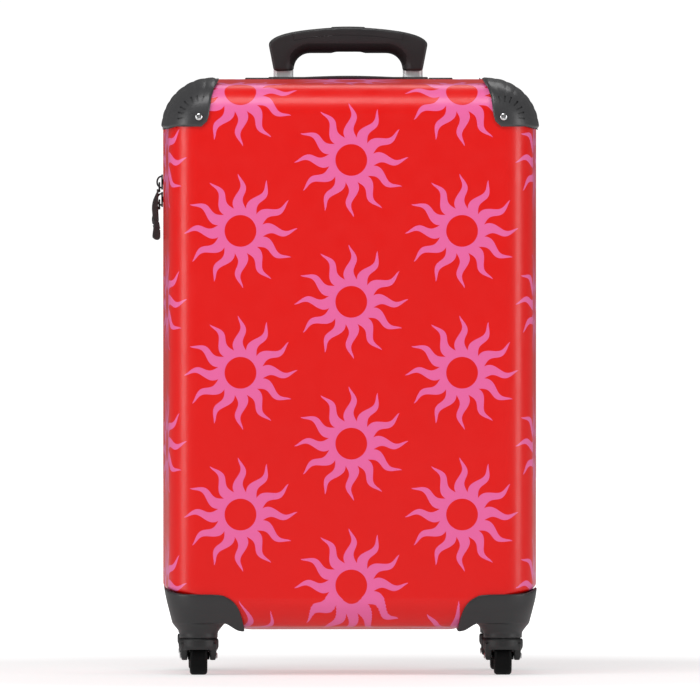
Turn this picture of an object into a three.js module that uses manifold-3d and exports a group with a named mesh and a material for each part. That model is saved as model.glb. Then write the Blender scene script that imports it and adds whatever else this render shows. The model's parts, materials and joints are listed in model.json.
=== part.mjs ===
// A 20 inch hard shell cabin suitcase on four spinner wheels, in millimetres, +Z up.
// The origin is on the floor, under the middle of the case. +X is to the right and -Y is the front.
// The case opens like a book: the front half swings on a fabric hinge along the right side.
import * as THREE from "three";
import { mergeVertices } from "three/addons/utils/BufferGeometryUtils.js";
import Module from "manifold-3d";

const wasm = await Module();
wasm.setup();

// ---------- driving dimensions ----------
const GAP = 0.3; // between pieces that touch

const caseWidth = 344; // at the zip
const caseHeight = 508; // at the zip
const halfDepth = 118; // zip plane to the flat face of one half
const shellWall = 2;
const rimSetback = 7; // zip plane to the rim of a shell
const straightRim = 20; // the walls are square to the zip plane up to this depth
const draftSlope = 0.062; // then they lean in towards the face
const faceEdgeRadius = 28; // between a wall and the face
const topCornerRadius = 46;
const chamferRun = 74; // the bottom corners are cut away over the wheels
const chamferRise = 42;
const chamferRadius = 30; // where the cut meets the bottom
const chamferSideRadius = 12; // where it meets the side

const liningThickness = 0.8;
const liningInset = 3.5; // shell's outer surface to the lining
const rearFloorDepth = 80; // zip plane to the lining over the handle tubes
const liningRimSetback = 9;

const tapeThickness = 0.8;
const tapeWidth = 18;
const coilWidth = 2.5; // of one half of the zip's coil
const coilHeight = 1.8;
const coilSlot = 0.7; // from the zip plane to each coil: a slider's neck runs between them
const hingeMargin = 8; // the hinge tape ends this far from the corners' curves

const guardThickness = 2.2;
const guardDepth = 46; // how far a corner guard reaches back from the face
const guardScrewInset = 32; // from the case's side
const guardScrewDrop = 34.3; // from the case's top
const screwHeadRadius = 3.4;
const screwHeadHeight = 1.7;
const screwShankRadius = 1.6;

const casterInset = 32; // the case's side to the swivel axis
const casterSetback = 33; // the face to the swivel axis
const neckRadius = 17.7;
const neckOverlap = 1; // how far a wheel's top reaches up into the neck
const neckDrop = 6; // from the shell's lowest edge down to the neck's lower face
const neckHeight = 5; // of its round part, under the cone
const coneRadius = 24.6;
const housingRise = 7.6; // from the shell's lowest edge up to the underside of the housing's cup
const housingFloorThickness = 3.9;
const housingWall = 2.4;
const housingTopRise = 41; // up to the housing's highest lip
const housingReach = 70; // how far it reaches along the face and along the side

const wheelRadius = 17.5;
const wheelWidth = 16.2;
const wheelTrail = 6.5; // swivel axis to the axle
const treadRounding = 2.5;
const hubRadius = 3.6;
const axleRadius = 1.75;
const axleHeadRadius = 3;
const forkHoodRadius = 18.5;
const forkHoodHeight = 12;
const forkBossRadius = 15.7;
const forkBossHeight = 6; // the hub on top of the hood, inside the neck
const forkLegInner = 10.4;
const forkLegOuter = 16.3;
const forkLegEndRadius = 4;
const kingpinRadius = 3;

const tubeSpacing = 120;
const tubeDepth = 92; // zip plane to the tubes' middle
const upperTubeSize = [18.4, 12];
const tubeWall = 1;
const tubeCornerRadius = 4.5;
const tubeBottomRise = 18; // from the shell's lowest edge to the tubes' feet
const bezelProud = 2; // over the case's top
const bezelHalfWidth = 74;
const bezelSize = 30; // front to back

const gripHeight = 40.5; // of the whole grip, over its legs' ends
const gripGap = 5.5; // bezel to the legs' ends
const gripArchHeight = 16.5; // legs' ends to the underside
const gripArchRadius = 14;
const gripShoulderDrop = 8.5; // from the crown to the corner where the sides would meet the top
const gripTopArcRadius = 260;
const gripHalfWidth = 73.2;
const gripDepth = 27;
const gripRounding = 5;
const gripCoverThickness = 7;
const gripCoverHalfWidth = 50;
const buttonLength = 31;
const buttonWidth = 13;
const buttonTravel = 4;

const sliderLength = 14;
const sliderWidth = 10;
const sliderPlate = 1.6;
const sliderDrop = 95; // case's top to the upper slider's middle
const sliderSpacing = 16;
const crownHeight = 4.8;
const crownWire = 1.6;
const pullLength = 52.5; // from the upper slider's bar to the end of its tab
const pullThickness = 5.9;

const hingeBead = 2.2; // how far the hinge fabric stands out of the case's side

const strapDrop = 218; // case's top to the packing strap's middle
const strapWidth = 25;
const strapThickness = 1.2;
const buckleSize = [46, 5, 30];

const carryHandleDepth = 45; // zip plane to its middle
const carryHandleWidth = 22;
const carryHandleThickness = 3;
const carryHandleHalfLength = 80;
const carryHandleRise = 1.6; // case's top to its middle line at the crown
const carryCapSize = [22, 28, 5];

const halfWidth = caseWidth / 2;
const neckBottom = 2 * wheelRadius - neckOverlap;
const bottom = neckBottom + neckDrop;
const top = bottom + caseHeight;
const housingFloor = bottom + housingRise;
const housingTop = bottom + housingTopRise;
const forkHoodBottom = neckBottom - forkHoodHeight;
const forkBossTop = neckBottom + forkBossHeight;
const tubeBottom = bottom + tubeBottomRise;
const bezelTop = top + bezelProud;
const gripBottom = bezelTop + gripGap;
const gripTop = gripBottom + gripHeight;
const gripUnderside = gripBottom + gripArchHeight;
const gripShoulder = gripTop - gripShoulderDrop;
const gripSocketTop = gripUnderside + 3; // the upper tubes end here, inside the grip's legs
const sliderHeight = top - sliderDrop;
const strapHeight = top - strapDrop;

// ---------- solids ----------
function signedVolume(position, index) {
  const a = new THREE.Vector3();
  const b = new THREE.Vector3();
  const c = new THREE.Vector3();
  let sum = 0;
  for (let i = 0; i < index.length; i += 3) {
    a.fromBufferAttribute(position, index[i]);
    b.fromBufferAttribute(position, index[i + 1]);
    c.fromBufferAttribute(position, index[i + 2]);
    sum += a.dot(b.cross(c));
  }
  return sum / 6;
}

// A closed three.js geometry as a solid that can be cut and joined.
function solid(geometry) {
  const bare = new THREE.BufferGeometry();
  bare.setAttribute("position", geometry.getAttribute("position").clone());
  if (geometry.index) bare.setIndex(geometry.index.clone());
  const merged = mergeVertices(bare, 1e-3);
  const index = Array.from(merged.index.array);
  if (signedVolume(merged.getAttribute("position"), index) < 0) index.reverse();
  return new wasm.Manifold(
    new wasm.Mesh({
      numProp: 3,
      vertProperties: new Float32Array(merged.getAttribute("position").array),
      triVerts: new Uint32Array(index),
    }),
  );
}

function geometryOf(made) {
  const mesh = made.getMesh();
  const geometry = new THREE.BufferGeometry();
  geometry.setAttribute("position", new THREE.BufferAttribute(mesh.vertProperties, 3));
  geometry.setIndex(new THREE.BufferAttribute(mesh.triVerts, 1));
  const flat = geometry.toNonIndexed();
  flat.computeVertexNormals();
  return flat;
}

const union = (...solids) => solids.reduce((a, b) => a.add(b));
const cut = (from, ...solids) => solids.reduce((a, b) => a.subtract(b), from);

function box(low, high) {
  const size = high.map((h, i) => h - low[i]);
  const middle = high.map((h, i) => (h + low[i]) / 2);
  return solid(new THREE.BoxGeometry(...size).translate(...middle));
}

// A cylinder between two heights on the Z axis, or turned onto "x" or "y".
function cylinder(radius, from, to, axis = "z", sides = 18) {
  const made = new THREE.CylinderGeometry(radius, radius, to - from, sides);
  made.rotateX(Math.PI / 2).translate(0, 0, (from + to) / 2);
  if (axis === "x") made.rotateY(Math.PI / 2);
  if (axis === "y") made.rotateX(-Math.PI / 2);
  return solid(made);
}

// A turned solid on the Z axis from [radius, height] points that start and end on the axis.
function turned(profile, sides = 18) {
  const points = profile.map(([r, z]) => new THREE.Vector2(r, z));
  return solid(new THREE.LatheGeometry(points, sides).rotateX(Math.PI / 2));
}

// Points of a polygon with its corners rounded; each corner is [x, y, radius, segments].
function rounded(corners) {
  const points = [];
  corners.forEach(([x, y, radius, segments], i) => {
    const [px, py] = corners[(i + corners.length - 1) % corners.length];
    const [nx, ny] = corners[(i + 1) % corners.length];
    const here = new THREE.Vector2(x, y);
    const back = new THREE.Vector2(px - x, py - y).normalize();
    const on = new THREE.Vector2(nx - x, ny - y).normalize();
    if (!radius) {
      points.push(here);
      return;
    }
    const half = Math.acos(THREE.MathUtils.clamp(back.dot(on), -1, 1)) / 2;
    const centre = back.clone().add(on).normalize().multiplyScalar(radius / Math.sin(half)).add(here);
    const start = back.clone().multiplyScalar(radius / Math.tan(half)).add(here).sub(centre);
    const end = on.clone().multiplyScalar(radius / Math.tan(half)).add(here).sub(centre);
    const sweep = Math.atan2(start.cross(end), start.dot(end));
    for (let k = 0; k <= segments; k++) {
      points.push(start.clone().rotateAround(new THREE.Vector2(), (sweep * k) / segments).add(centre));
    }
  });
  return points;
}

function shapeOf(points, holes = []) {
  const shape = new THREE.Shape(points);
  shape.holes = holes.map((hole) => new THREE.Path(hole));
  return shape;
}

function extrude(shape, depth, options = {}) {
  return new THREE.ExtrudeGeometry(shape, { depth, bevelEnabled: false, ...options });
}

// An outline in the front view, [x, z], run from one Y to another.
function frontPrism(points, fromY, toY, holes = []) {
  return solid(extrude(shapeOf(points, holes), toY - fromY).rotateX(Math.PI / 2).translate(0, toY, 0));
}

// An outline in the side view, [y, z], run from one X to another.
function sidePrism(points, fromX, toX) {
  const made = extrude(shapeOf(points), toX - fromX).rotateX(Math.PI / 2).rotateZ(Math.PI / 2);
  return solid(made.translate(fromX, 0, 0));
}

// An outline in plan, [x, y], run from one height to another.
function planPrism(points, fromZ, toZ, holes = []) {
  return solid(extrude(shapeOf(points, holes), toZ - fromZ).translate(0, 0, fromZ));
}

const vectors = (pairs) => pairs.map(([x, y]) => new THREE.Vector2(x, y));

// A closed skin through rings that have the same number of points, with a flat cap on each end.
function loft(rings) {
  const count = rings[0].length;
  const positions = rings.flat().flatMap((p) => [p.x, p.y, p.z]);
  const index = [];
  for (let r = 0; r + 1 < rings.length; r++) {
    for (let i = 0; i < count; i++) {
      const j = (i + 1) % count;
      const [a, b, c, d] = [r * count + i, r * count + j, (r + 1) * count + i, (r + 1) * count + j];
      index.push(a, b, d, a, d, c);
    }
  }
  for (let i = 1; i + 1 < count; i++) {
    const last = (rings.length - 1) * count;
    index.push(0, i + 1, i);
    index.push(last, last + i, last + i + 1);
  }
  const geometry = new THREE.BufferGeometry();
  geometry.setAttribute("position", new THREE.Float32BufferAttribute(positions, 3));
  geometry.setIndex(index);
  return solid(geometry);
}

// ---------- materials ----------
function material(color, roughness, metalness = 0) {
  return new THREE.MeshStandardMaterial({ color, roughness, metalness });
}

const printedShell = material("#e02412", 0.3);
const blackPlastic = material("#2a2a2b", 0.45);
const darkPlastic = material("#161617", 0.5);
const liningFabric = material("#3a3a3f", 0.9);
const tapeFabric = material("#151515", 0.9);
const aluminium = material("#c9cbcd", 0.3, 1);
const steel = material("#d8d9db", 0.2, 1);
const blackMetal = material("#2d2e30", 0.35, 0.8);
const tyreRubber = material("#181818", 0.6);

// ---------- the case's outline ----------
// The front view outline at the zip, moved in by inset. Bottom corners are cut away over the wheels.
function caseOutline(inset) {
  const slant = Math.hypot(chamferRun, chamferRise);
  const run = chamferRun + (inset * (chamferRise - slant)) / chamferRun * (chamferRun / chamferRise);
  const rise = chamferRise + (inset * (chamferRun - slant)) / chamferRun;
  const [x, low, high] = [halfWidth - inset, bottom + inset, top - inset];
  const lower = Math.max(chamferRadius - inset, 4);
  const lowerSide = Math.max(chamferSideRadius - inset, 4);
  const upper = Math.max(topCornerRadius - inset, 4);
  const innerX = halfWidth - run;
  const risen = bottom + rise;
  return rounded([
    [-innerX, low, lower, 2],
    [innerX, low, lower, 2],
    [x, risen, lowerSide, 2],
    [x, high, upper, 6],
    [-x, high, upper, 6],
    [-x, risen, lowerSide, 2],
  ]);
}

const lean = (depth) => draftSlope * Math.max(0, depth - straightRim);

// A half of the case as a full solid, side -1 in front and 1 behind. grow moves its surface out.
function caseBody(side, grow, fromDepth, faceDepth = halfDepth) {
  const radius = faceEdgeRadius + grow;
  const wallEnd = faceDepth - faceEdgeRadius;
  const levels = [[fromDepth, lean(fromDepth) - grow]];
  if (fromDepth < straightRim) levels.push([straightRim, -grow]);
  const steps = 4;
  for (let k = 0; k <= steps; k++) {
    const angle = (k / steps) * (Math.PI / 2);
    levels.push([wallEnd + radius * Math.sin(angle), lean(wallEnd) - grow + radius * (1 - Math.cos(angle))]);
  }
  return loft(
    levels.map(([depth, inset]) => caseOutline(inset).map((p) => new THREE.Vector3(p.x, side * depth, p.y))),
  );
}

// Where the outer surface of a half's top wall is, at a depth short of its rounded edge.
const topWallHeight = (depth) => top - lean(depth);

function shellHalf(side) {
  return cut(caseBody(side, 0, rimSetback), caseBody(side, -shellWall, rimSetback - 1));
}

function liningHalf(side, faceDepth) {
  const outer = caseBody(side, -liningInset, liningRimSetback, faceDepth);
  return cut(outer, caseBody(side, -liningInset - liningThickness, liningRimSetback - 1, faceDepth));
}

// ---------- zip and hinge ----------
const hingeLow = bottom + chamferRise + chamferRadius;
const hingeHigh = top - topCornerRadius;

// A band round the outline between two insets and two depths, with the hinge side left out.
function zipBand(side, outer, inner, fromDepth, toDepth) {
  const [from, to] = side < 0 ? [-toDepth, -fromDepth] : [fromDepth, toDepth];
  const ring = frontPrism(caseOutline(outer), from, to, [caseOutline(inner)]);
  const reach = halfWidth + 10;
  return cut(ring, box([halfWidth - 20, -reach, hingeLow], [reach, reach, hingeHigh]));
}

function zipTape(side) {
  const inset = shellWall + GAP;
  return zipBand(side, inset, inset + tapeThickness, coilSlot, coilSlot + tapeWidth);
}

function zipCoil(side) {
  const inset = shellWall - coilHeight;
  return zipBand(side, inset, shellWall, coilSlot, coilSlot + coilWidth);
}

// One leaf of the fabric hinge: a flat strip on the lining's side, and half of the bead outside.
function hingeTape(side) {
  const x = halfWidth - shellWall - GAP;
  const [low, high] = [hingeLow + hingeMargin, hingeHigh - hingeMargin];
  const leaf = (fromX, toX, reach) => {
    const [from, to] = side < 0 ? [-reach, -GAP / 2] : [GAP / 2, reach];
    return box([fromX, from, low], [toX, to, high]);
  };
  const strip = leaf(x - tapeThickness, x, tapeWidth);
  const bead = leaf(x - tapeThickness, halfWidth + hingeBead, rimSetback - 2);
  return union(strip, bead);
}

const sliderFace = -(halfWidth + GAP); // the slider's outer plate lies on the coil
const crownPlane = sliderFace - sliderPlate;

function zipSlider() {
  const half = sliderLength / 2;
  const plate = box([crownPlane, -sliderWidth / 2, -half], [sliderFace, sliderWidth / 2, half]);
  const insideFace = -(halfWidth - shellWall - 2 * GAP - tapeThickness);
  const neck = box([sliderFace - 0.5, -coilSlot + GAP, -2.5], [insideFace + 0.5, coilSlot - GAP, 2.5]);
  const underHalf = sliderWidth / 2 - 0.5;
  const under = box([insideFace, -underHalf, -half], [insideFace + 1.4, underHalf, half]);
  const arch = (wide, high) => {
    const points = [];
    for (let k = 0; k <= 10; k++) {
      const angle = (k / 10) * Math.PI;
      points.push([crownPlane + 0.2 - high * Math.sin(angle), wide * Math.cos(angle)]);
    }
    return vectors(points);
  };
  const outside = frontPrism(arch(half - 1, crownHeight), -1, 1);
  const opening = frontPrism(arch(half - 1 - crownWire, crownHeight - crownWire), -2, 2);
  return union(plate, neck, under, cut(outside, opening));
}

// A pull hangs from a bar through the slider's crown. lane is the Y span of its tab.
const pullBarDrop = 1;
const pullBarPlane = crownPlane - 1.7;

function zipPull(lane, tabTop, tabBottom) {
  const barRadius = 0.9;
  const armInner = 1.5;
  const armOuter = 2.9;
  const bar = cylinder(barRadius, -armOuter, armOuter, "y", 10);
  const linkBottom = -7.4;
  const arms = [-1, 1].map((s) => {
    const [a, b] = s < 0 ? [-armOuter, -armInner] : [armInner, armOuter];
    return box([-barRadius, a, linkBottom], [barRadius, b, 0]);
  });
  const low = Math.min(lane[0], -armOuter);
  const cross = box([-barRadius, low, linkBottom], [barRadius, armOuter, linkBottom + 2]);
  const neck = box([-barRadius, lane[0], tabTop - 4], [barRadius, lane[0] + 2.6, linkBottom + 1]);
  const tab = sidePrism(
    rounded([
      [lane[0], tabTop, 2, 3],
      [lane[0], tabBottom, 3, 3],
      [lane[1], tabBottom, 3, 3],
      [lane[1], tabTop, 2, 3],
    ]),
    barRadius - pullThickness,
    barRadius,
  );
  return union(bar, ...arms, cross, neck, tab);
}

// ---------- corner guards ----------
function cornerGuard() {
  // u runs in from the case's left side and w down from its top
  const outline = [
    [-12, -12],
    [50.5, -12],
    [50.5, 0.6],
    [46, 8],
    [43.5, 16],
    [41.3, 33],
    [39.5, 38.5],
    [34.2, 43.3],
    [11.6, 43.3],
    [-4, 47.5],
    [-12, 49],
  ].map(([u, w]) => [-halfWidth + u, top - w]);
  const from = halfDepth - guardDepth;
  const skin = cut(caseBody(-1, GAP + guardThickness, from), caseBody(-1, GAP, from - 1));
  const patch = skin.intersect(frontPrism(vectors(outline), -halfDepth - 10, -from));
  return cut(patch, screwHole());
}

const screwX = -halfWidth + guardScrewInset;
const screwZ = top - guardScrewDrop;
const screwFace = halfDepth + GAP + guardThickness; // depth of the guard's outer surface

function screwHole() {
  const hole = new THREE.CylinderGeometry(screwShankRadius + GAP, screwShankRadius + GAP, 20, 10);
  return solid(hole.translate(screwX, -halfDepth, screwZ));
}

function guardScrew() {
  const headBase = screwFace + 0.1;
  const profile = [
    [0, -(halfDepth - shellWall - 1)],
    [screwShankRadius, -(halfDepth - shellWall - 1)],
    [screwShankRadius, -headBase],
    [screwHeadRadius, -headBase],
    [screwHeadRadius, -headBase - screwHeadHeight * 0.5],
    [screwHeadRadius * 0.75, -headBase - screwHeadHeight * 0.9],
    [0, -headBase - screwHeadHeight],
  ].map(([r, y]) => new THREE.Vector2(r, y));
  return solid(new THREE.LatheGeometry(profile, 10).translate(screwX, 0, screwZ));
}

// ---------- wheel housings ----------
const casterX = halfWidth - casterInset;
const casterY = halfDepth - casterSetback;

// The housing of the front left caster. u runs in from the case's side and d back from its face.
function wheelHousing() {
  const reach = housingReach + 25;
  // plan sections: [height over the shell's bottom, u of the side, d of the face, corner radius]
  const sections = [
    [46, 0.1, -2.6, 31],
    [32, 1.8, -2.6, 31],
    [21, 4.4, -0.4, 29],
    [10, 7.2, 6, 26],
    [-3, 10.5, 12.5, 24],
  ];
  const column = (shrink) =>
    loft(
      sections.map(([z, u, d, radius]) => {
        const [x, y] = [-halfWidth + u + shrink, -halfDepth + d + shrink];
        const plan = rounded([
          [x, y, radius - shrink, 5],
          [x + reach, y, 1, 1],
          [x + reach, y + reach, 1, 1],
          [x, y + reach, 1, 1],
        ]);
        return plan.map((p) => new THREE.Vector3(p.x, p.y, bottom + z));
      }),
    );
  // the front view: the wing runs in to housingReach, over an arch beside the neck
  const front = vectors(
    [
      [-8, housingTopRise + 5],
      [-1, housingTopRise],
      [7.4, housingTopRise - 5.1],
      [48.8, housingTopRise - 6.7],
      [57, 32.4],
      [63.5, 28.2],
      [68.2, 22],
      [71.3, 14],
      [73.4, 5],
      [74.6, -1],
      [72, -1],
      [67.5, 0.4],
      [62.6, 3.9],
      [58.5, 6.8],
      [55.3, housingRise + 0.4],
      [-8, housingRise],
    ].map(([u, rise]) => [-halfWidth + u, bottom + rise]),
  );
  const side = (inset) =>
    vectors(
      [
        [-8, -8],
        [housingReach - inset, -8],
        [housingReach - inset, 6],
        [housingReach - 1 - inset, 18],
        [housingReach - 4 - inset, 30],
        [housingReach - 10 - inset, 39],
        [housingReach - 22 - inset, housingTopRise + 7],
        [-8, housingTopRise + 7],
      ].map(([d, rise]) => [-halfDepth + d, bottom + rise]),
    );
  const outer = column(0)
    .intersect(frontPrism(front, -halfDepth - 10, 0))
    .intersect(sidePrism(side(0), -halfWidth - 10, 0));
  const floorTop = housingFloor + housingFloorThickness;
  const cavity = column(housingWall)
    .intersect(sidePrism(side(housingWall), -halfWidth - 10, 0))
    .intersect(box([-halfWidth, -halfDepth, floorTop], [-halfWidth + 52, 0, housingTop + 9]));
  const neck = turned([
    [0, neckBottom],
    [neckRadius, neckBottom],
    [neckRadius, neckBottom + neckHeight],
    [coneRadius, housingFloor + 0.6],
    [coneRadius, housingFloor + 1.4],
    [0, housingFloor + 1.4],
  ]);
  const socket = cylinder(forkBossRadius + GAP, neckBottom - 1, forkBossTop + GAP);
  const pinHole = cylinder(kingpinRadius + GAP, neckBottom, housingFloor + 12, "z", 10);
  const holes = union(socket, pinHole).translate([-casterX, -casterY, 0]);
  const swivelled = neck.translate([-casterX, -casterY, 0]);
  return cut(union(outer, swivelled), caseBody(-1, GAP, rimSetback), cavity, holes);
}

// ---------- casters: each is modelled with its swivel axis on Z ----------
function casterFork() {
  const hood = cylinder(forkHoodRadius, forkHoodBottom, neckBottom - GAP, "z", 20);
  const boss = cylinder(forkBossRadius, neckBottom - 1, forkBossTop);
  const legs = sidePrism(
    rounded([
      [-13, forkHoodBottom + 6, 0, 0],
      [wheelTrail - forkLegEndRadius - 2, wheelRadius - forkLegEndRadius, forkLegEndRadius, 4],
      [wheelTrail + forkLegEndRadius + 2, wheelRadius - forkLegEndRadius, forkLegEndRadius, 4],
      [17, forkHoodBottom + 6, 0, 0],
    ]),
    -forkLegOuter,
    forkLegOuter,
  );
  const slot = box([-forkLegInner, -30, 0], [forkLegInner, 40, forkHoodBottom + 1]);
  const halfPocket = wheelWidth / 2 + 1;
  const pocket = cylinder(wheelRadius + 1.2, -halfPocket, halfPocket, "x", 20).translate([
    0,
    wheelTrail,
    wheelRadius,
  ]);
  const back = box([-halfPocket, forkBossRadius - 4, forkHoodBottom - 1], [halfPocket, 40, neckBottom]);
  const axleHole = cylinder(axleRadius + 0.1, -30, 30, "x", 10).translate([0, wheelTrail, wheelRadius]);
  const pinHole = cylinder(kingpinRadius + 0.15, forkHoodBottom, forkBossTop + 1, "z", 10);
  return cut(union(hood, boss, legs), slot, pocket, back, axleHole, pinHole);
}

function casterWheel() {
  const half = wheelWidth / 2;
  const hubHalf = forkLegInner - GAP;
  const profile = [
    [axleRadius + 0.15, -hubHalf],
    [hubRadius, -hubHalf],
    [hubRadius, -half + 1],
    [wheelRadius - treadRounding - 2, -half + 1],
    [wheelRadius - treadRounding - 1, -half],
    [wheelRadius - treadRounding * 0.6, -half + 0.6],
    [wheelRadius, -half + treadRounding * 1.4],
  ];
  const mirrored = profile.map(([r, z]) => [r, -z]).reverse();
  const closed = [...profile, ...mirrored, profile[0]].map(([r, z]) => new THREE.Vector2(r, z));
  return solid(new THREE.LatheGeometry(closed, 18).rotateX(Math.PI / 2).rotateY(Math.PI / 2));
}

function casterAxle() {
  const headStart = forkLegOuter + 0.1;
  const headEnd = headStart + 1;
  const made = turned(
    [
      [0, -headEnd],
      [axleHeadRadius, -headEnd],
      [axleHeadRadius, -headStart],
      [axleRadius, -headStart],
      [axleRadius, headStart],
      [axleHeadRadius, headStart],
      [axleHeadRadius, headEnd],
      [0, headEnd],
    ],
    10,
  );
  return made.rotate([0, 90, 0]);
}

function kingpin() {
  const seat = housingFloor + housingFloorThickness + GAP;
  const lowest = wheelRadius + Math.sqrt((wheelRadius + 1.2) ** 2 - wheelTrail ** 2) + 0.6;
  return turned(
    [
      [0, lowest],
      [kingpinRadius, lowest],
      [kingpinRadius, seat],
      [6.5, seat],
      [6.5, seat + 2.2],
      [0, seat + 2.2],
    ],
    10,
  );
}

// ---------- telescopic handle ----------
function tubeOutline([width, depth], radius) {
  const [w, d] = [width / 2, depth / 2];
  return rounded([
    [-w, -d, radius, 2],
    [w, -d, radius, 2],
    [w, d, radius, 2],
    [-w, d, radius, 2],
  ]);
}

const grown = (size, by) => size.map((s) => s + 2 * by);
const middleTubeSize = grown(upperTubeSize, GAP + tubeWall);
const outerTubeSize = grown(middleTubeSize, GAP + tubeWall);

// A tube on the Z axis; its corners share a centre with those of the tubes inside it.
function tube(size, low, high) {
  const extra = (size[0] - upperTubeSize[0]) / 2;
  const radius = tubeCornerRadius + extra;
  return planPrism(tubeOutline(size, radius), low, high, [
    tubeOutline(grown(size, -tubeWall), radius - tubeWall),
  ]);
}

function tubeHole(size, low, high) {
  const extra = (size[0] - upperTubeSize[0]) / 2;
  const hole = planPrism(tubeOutline(size, tubeCornerRadius + extra), low, high);
  return hole.translate([0, tubeDepth, 0]);
}

const bothSides = (made) => [-tubeSpacing / 2, tubeSpacing / 2].map((x) => made.translate([x, 0, 0]));

const outerTubeTop = bezelTop - 3.3;
const middleTubeTop = bezelTop - GAP;
const footTop = tubeBottom + 8;

function trolleyBezel() {
  const [from, to] = [tubeDepth - bezelSize / 2, tubeDepth + bezelSize / 2];
  const plan = rounded([
    [-bezelHalfWidth, from, 7, 4],
    [bezelHalfWidth, from, 7, 4],
    [bezelHalfWidth, to, 7, 4],
    [-bezelHalfWidth, to, 7, 4],
  ]);
  const block = planPrism(plan, top - 20, bezelTop);
  const outerHoles = bothSides(tubeHole(grown(outerTubeSize, GAP), top - 30, outerTubeTop + GAP));
  const middleHoles = bothSides(tubeHole(grown(middleTubeSize, GAP), top - 30, bezelTop + 1));
  return cut(block, caseBody(1, GAP, rimSetback), ...outerHoles, ...middleHoles);
}

function trolleyFoot() {
  const wall = 1.6;
  const halfSize = outerTubeSize[1] / 2 + GAP + wall;
  const x = (tubeSpacing + outerTubeSize[0]) / 2 + GAP + 3;
  const block = box([-x, tubeDepth - halfSize, tubeBottom - 5], [x, tubeDepth + halfSize, footTop]);
  const pockets = bothSides(tubeHole(grown(outerTubeSize, GAP), tubeBottom - GAP, footTop + 1));
  return cut(block, ...pockets);
}

// The grip's outline in the front view: an arched top, and a leg over each tube.
function gripOutline() {
  const arc = [];
  for (let k = -6; k <= 6; k++) {
    const x = (k / 6) * (gripHalfWidth - 15);
    arc.unshift([x, gripTop - gripTopArcRadius + Math.sqrt(gripTopArcRadius ** 2 - x ** 2), 0, 0]);
  }
  const legOuter = (tubeSpacing + upperTubeSize[0]) / 2 - 0.3;
  const legInner = (tubeSpacing - upperTubeSize[0]) / 2 - 0.4;
  const right = [
    [legInner, gripUnderside, gripArchRadius, 4],
    [legInner, gripBottom, 0, 0],
    [legOuter, gripBottom, 0, 0],
    [gripHalfWidth, gripShoulder - 9, 8, 2],
    [gripHalfWidth, gripShoulder, 8, 3],
  ];
  const left = right.map(([x, z, radius, segments]) => [-x, z, radius, segments]).reverse();
  return rounded([...arc, ...left, ...right]);
}

function gripSolid() {
  const made = extrude(shapeOf(gripOutline()), gripDepth - 2 * gripRounding, {
    bevelEnabled: true,
    bevelThickness: gripRounding,
    bevelSize: gripRounding,
    bevelOffset: -gripRounding,
    bevelSegments: 2,
  });
  return solid(made.rotateX(Math.PI / 2).translate(0, tubeDepth + gripDepth / 2 - gripRounding, 0));
}

const coverUnderside = (x) =>
  gripTop - gripCoverThickness - gripTopArcRadius + Math.sqrt(gripTopArcRadius ** 2 - x ** 2);

// The part of the grip that its top cover takes, or the grip below it.
function coverRegion(grow) {
  const points = [];
  for (let k = -5; k <= 5; k++) {
    const x = (k / 5) * (gripCoverHalfWidth + grow);
    points.push([x, coverUnderside(x) - grow]);
  }
  points.push([gripCoverHalfWidth + grow + 4, gripTop + 9], [-gripCoverHalfWidth - grow - 4, gripTop + 9]);
  return frontPrism(vectors(points), tubeDepth - gripDepth, tubeDepth + gripDepth);
}

const buttonLow = gripTop - gripCoverThickness - 5.2;
const yokeTop = buttonLow - GAP;

function buttonPlan(grow) {
  const [l, w] = [buttonLength / 2 + grow, buttonWidth / 2 + grow];
  return rounded([
    [-l, tubeDepth - w, w - 0.5, 4],
    [l, tubeDepth - w, w - 0.5, 4],
    [l, tubeDepth + w, w - 0.5, 4],
    [-l, tubeDepth + w, w - 0.5, 4],
  ]);
}

function gripCover(full) {
  return cut(full.intersect(coverRegion(0)), planPrism(buttonPlan(GAP), gripTop - 30, gripTop + 5));
}

function gripBody(full) {
  const well = planPrism(buttonPlan(GAP), yokeTop - 7 - buttonTravel, gripTop + 5);
  const x = tubeSpacing / 2 + 4;
  const channel = box([-x, tubeDepth - 3, yokeTop - 3.5 - buttonTravel], [x, tubeDepth + 3, yokeTop + 1]);
  const sockets = bothSides(tubeHole(grown(upperTubeSize, GAP), gripBottom - 5, gripSocketTop + GAP));
  const shafts = bothSides(box([-4, tubeDepth - 3, gripSocketTop - 5], [4, tubeDepth + 3, yokeTop + 1]));
  return cut(full, coverRegion(GAP), well, channel, ...sockets, ...shafts);
}

function gripButton() {
  const dome = [];
  const half = buttonLength / 2;
  for (let k = -3; k <= 3; k++) {
    const x = (k / 3) * half;
    dome.push([x, gripTop + 0.8 - (x / half) ** 2 * 0.9]);
  }
  dome.push([half, buttonLow], [-half, buttonLow]);
  const block = frontPrism(vectors(dome), tubeDepth - 20, tubeDepth + 20);
  return block.intersect(planPrism(buttonPlan(0), buttonLow, gripTop + 5));
}

// One bent wire under the button; its two legs run down the upper tubes to the catches.
function releaseYoke() {
  const [wire, x] = [1.5, tubeSpacing / 2];
  const bar = box([-x - wire, tubeDepth - wire, yokeTop - 2 * wire], [x + wire, tubeDepth + wire, yokeTop]);
  const [low, high] = [tubeBottom + 30, yokeTop - wire];
  const legs = bothSides(box([-wire, tubeDepth - wire, low], [wire, tubeDepth + wire, high]));
  return union(bar, ...legs);
}

// ---------- carry handle ----------
const carryWall = topWallHeight(carryHandleDepth);
const carryEnd = carryWall + 2.4; // height of the strap's middle line inside its caps

function carryLine(x) {
  const bow = Math.cos((x / carryHandleHalfLength) * (Math.PI / 2)) ** 2;
  return carryEnd + (top + carryHandleRise - carryEnd) * bow;
}

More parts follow.
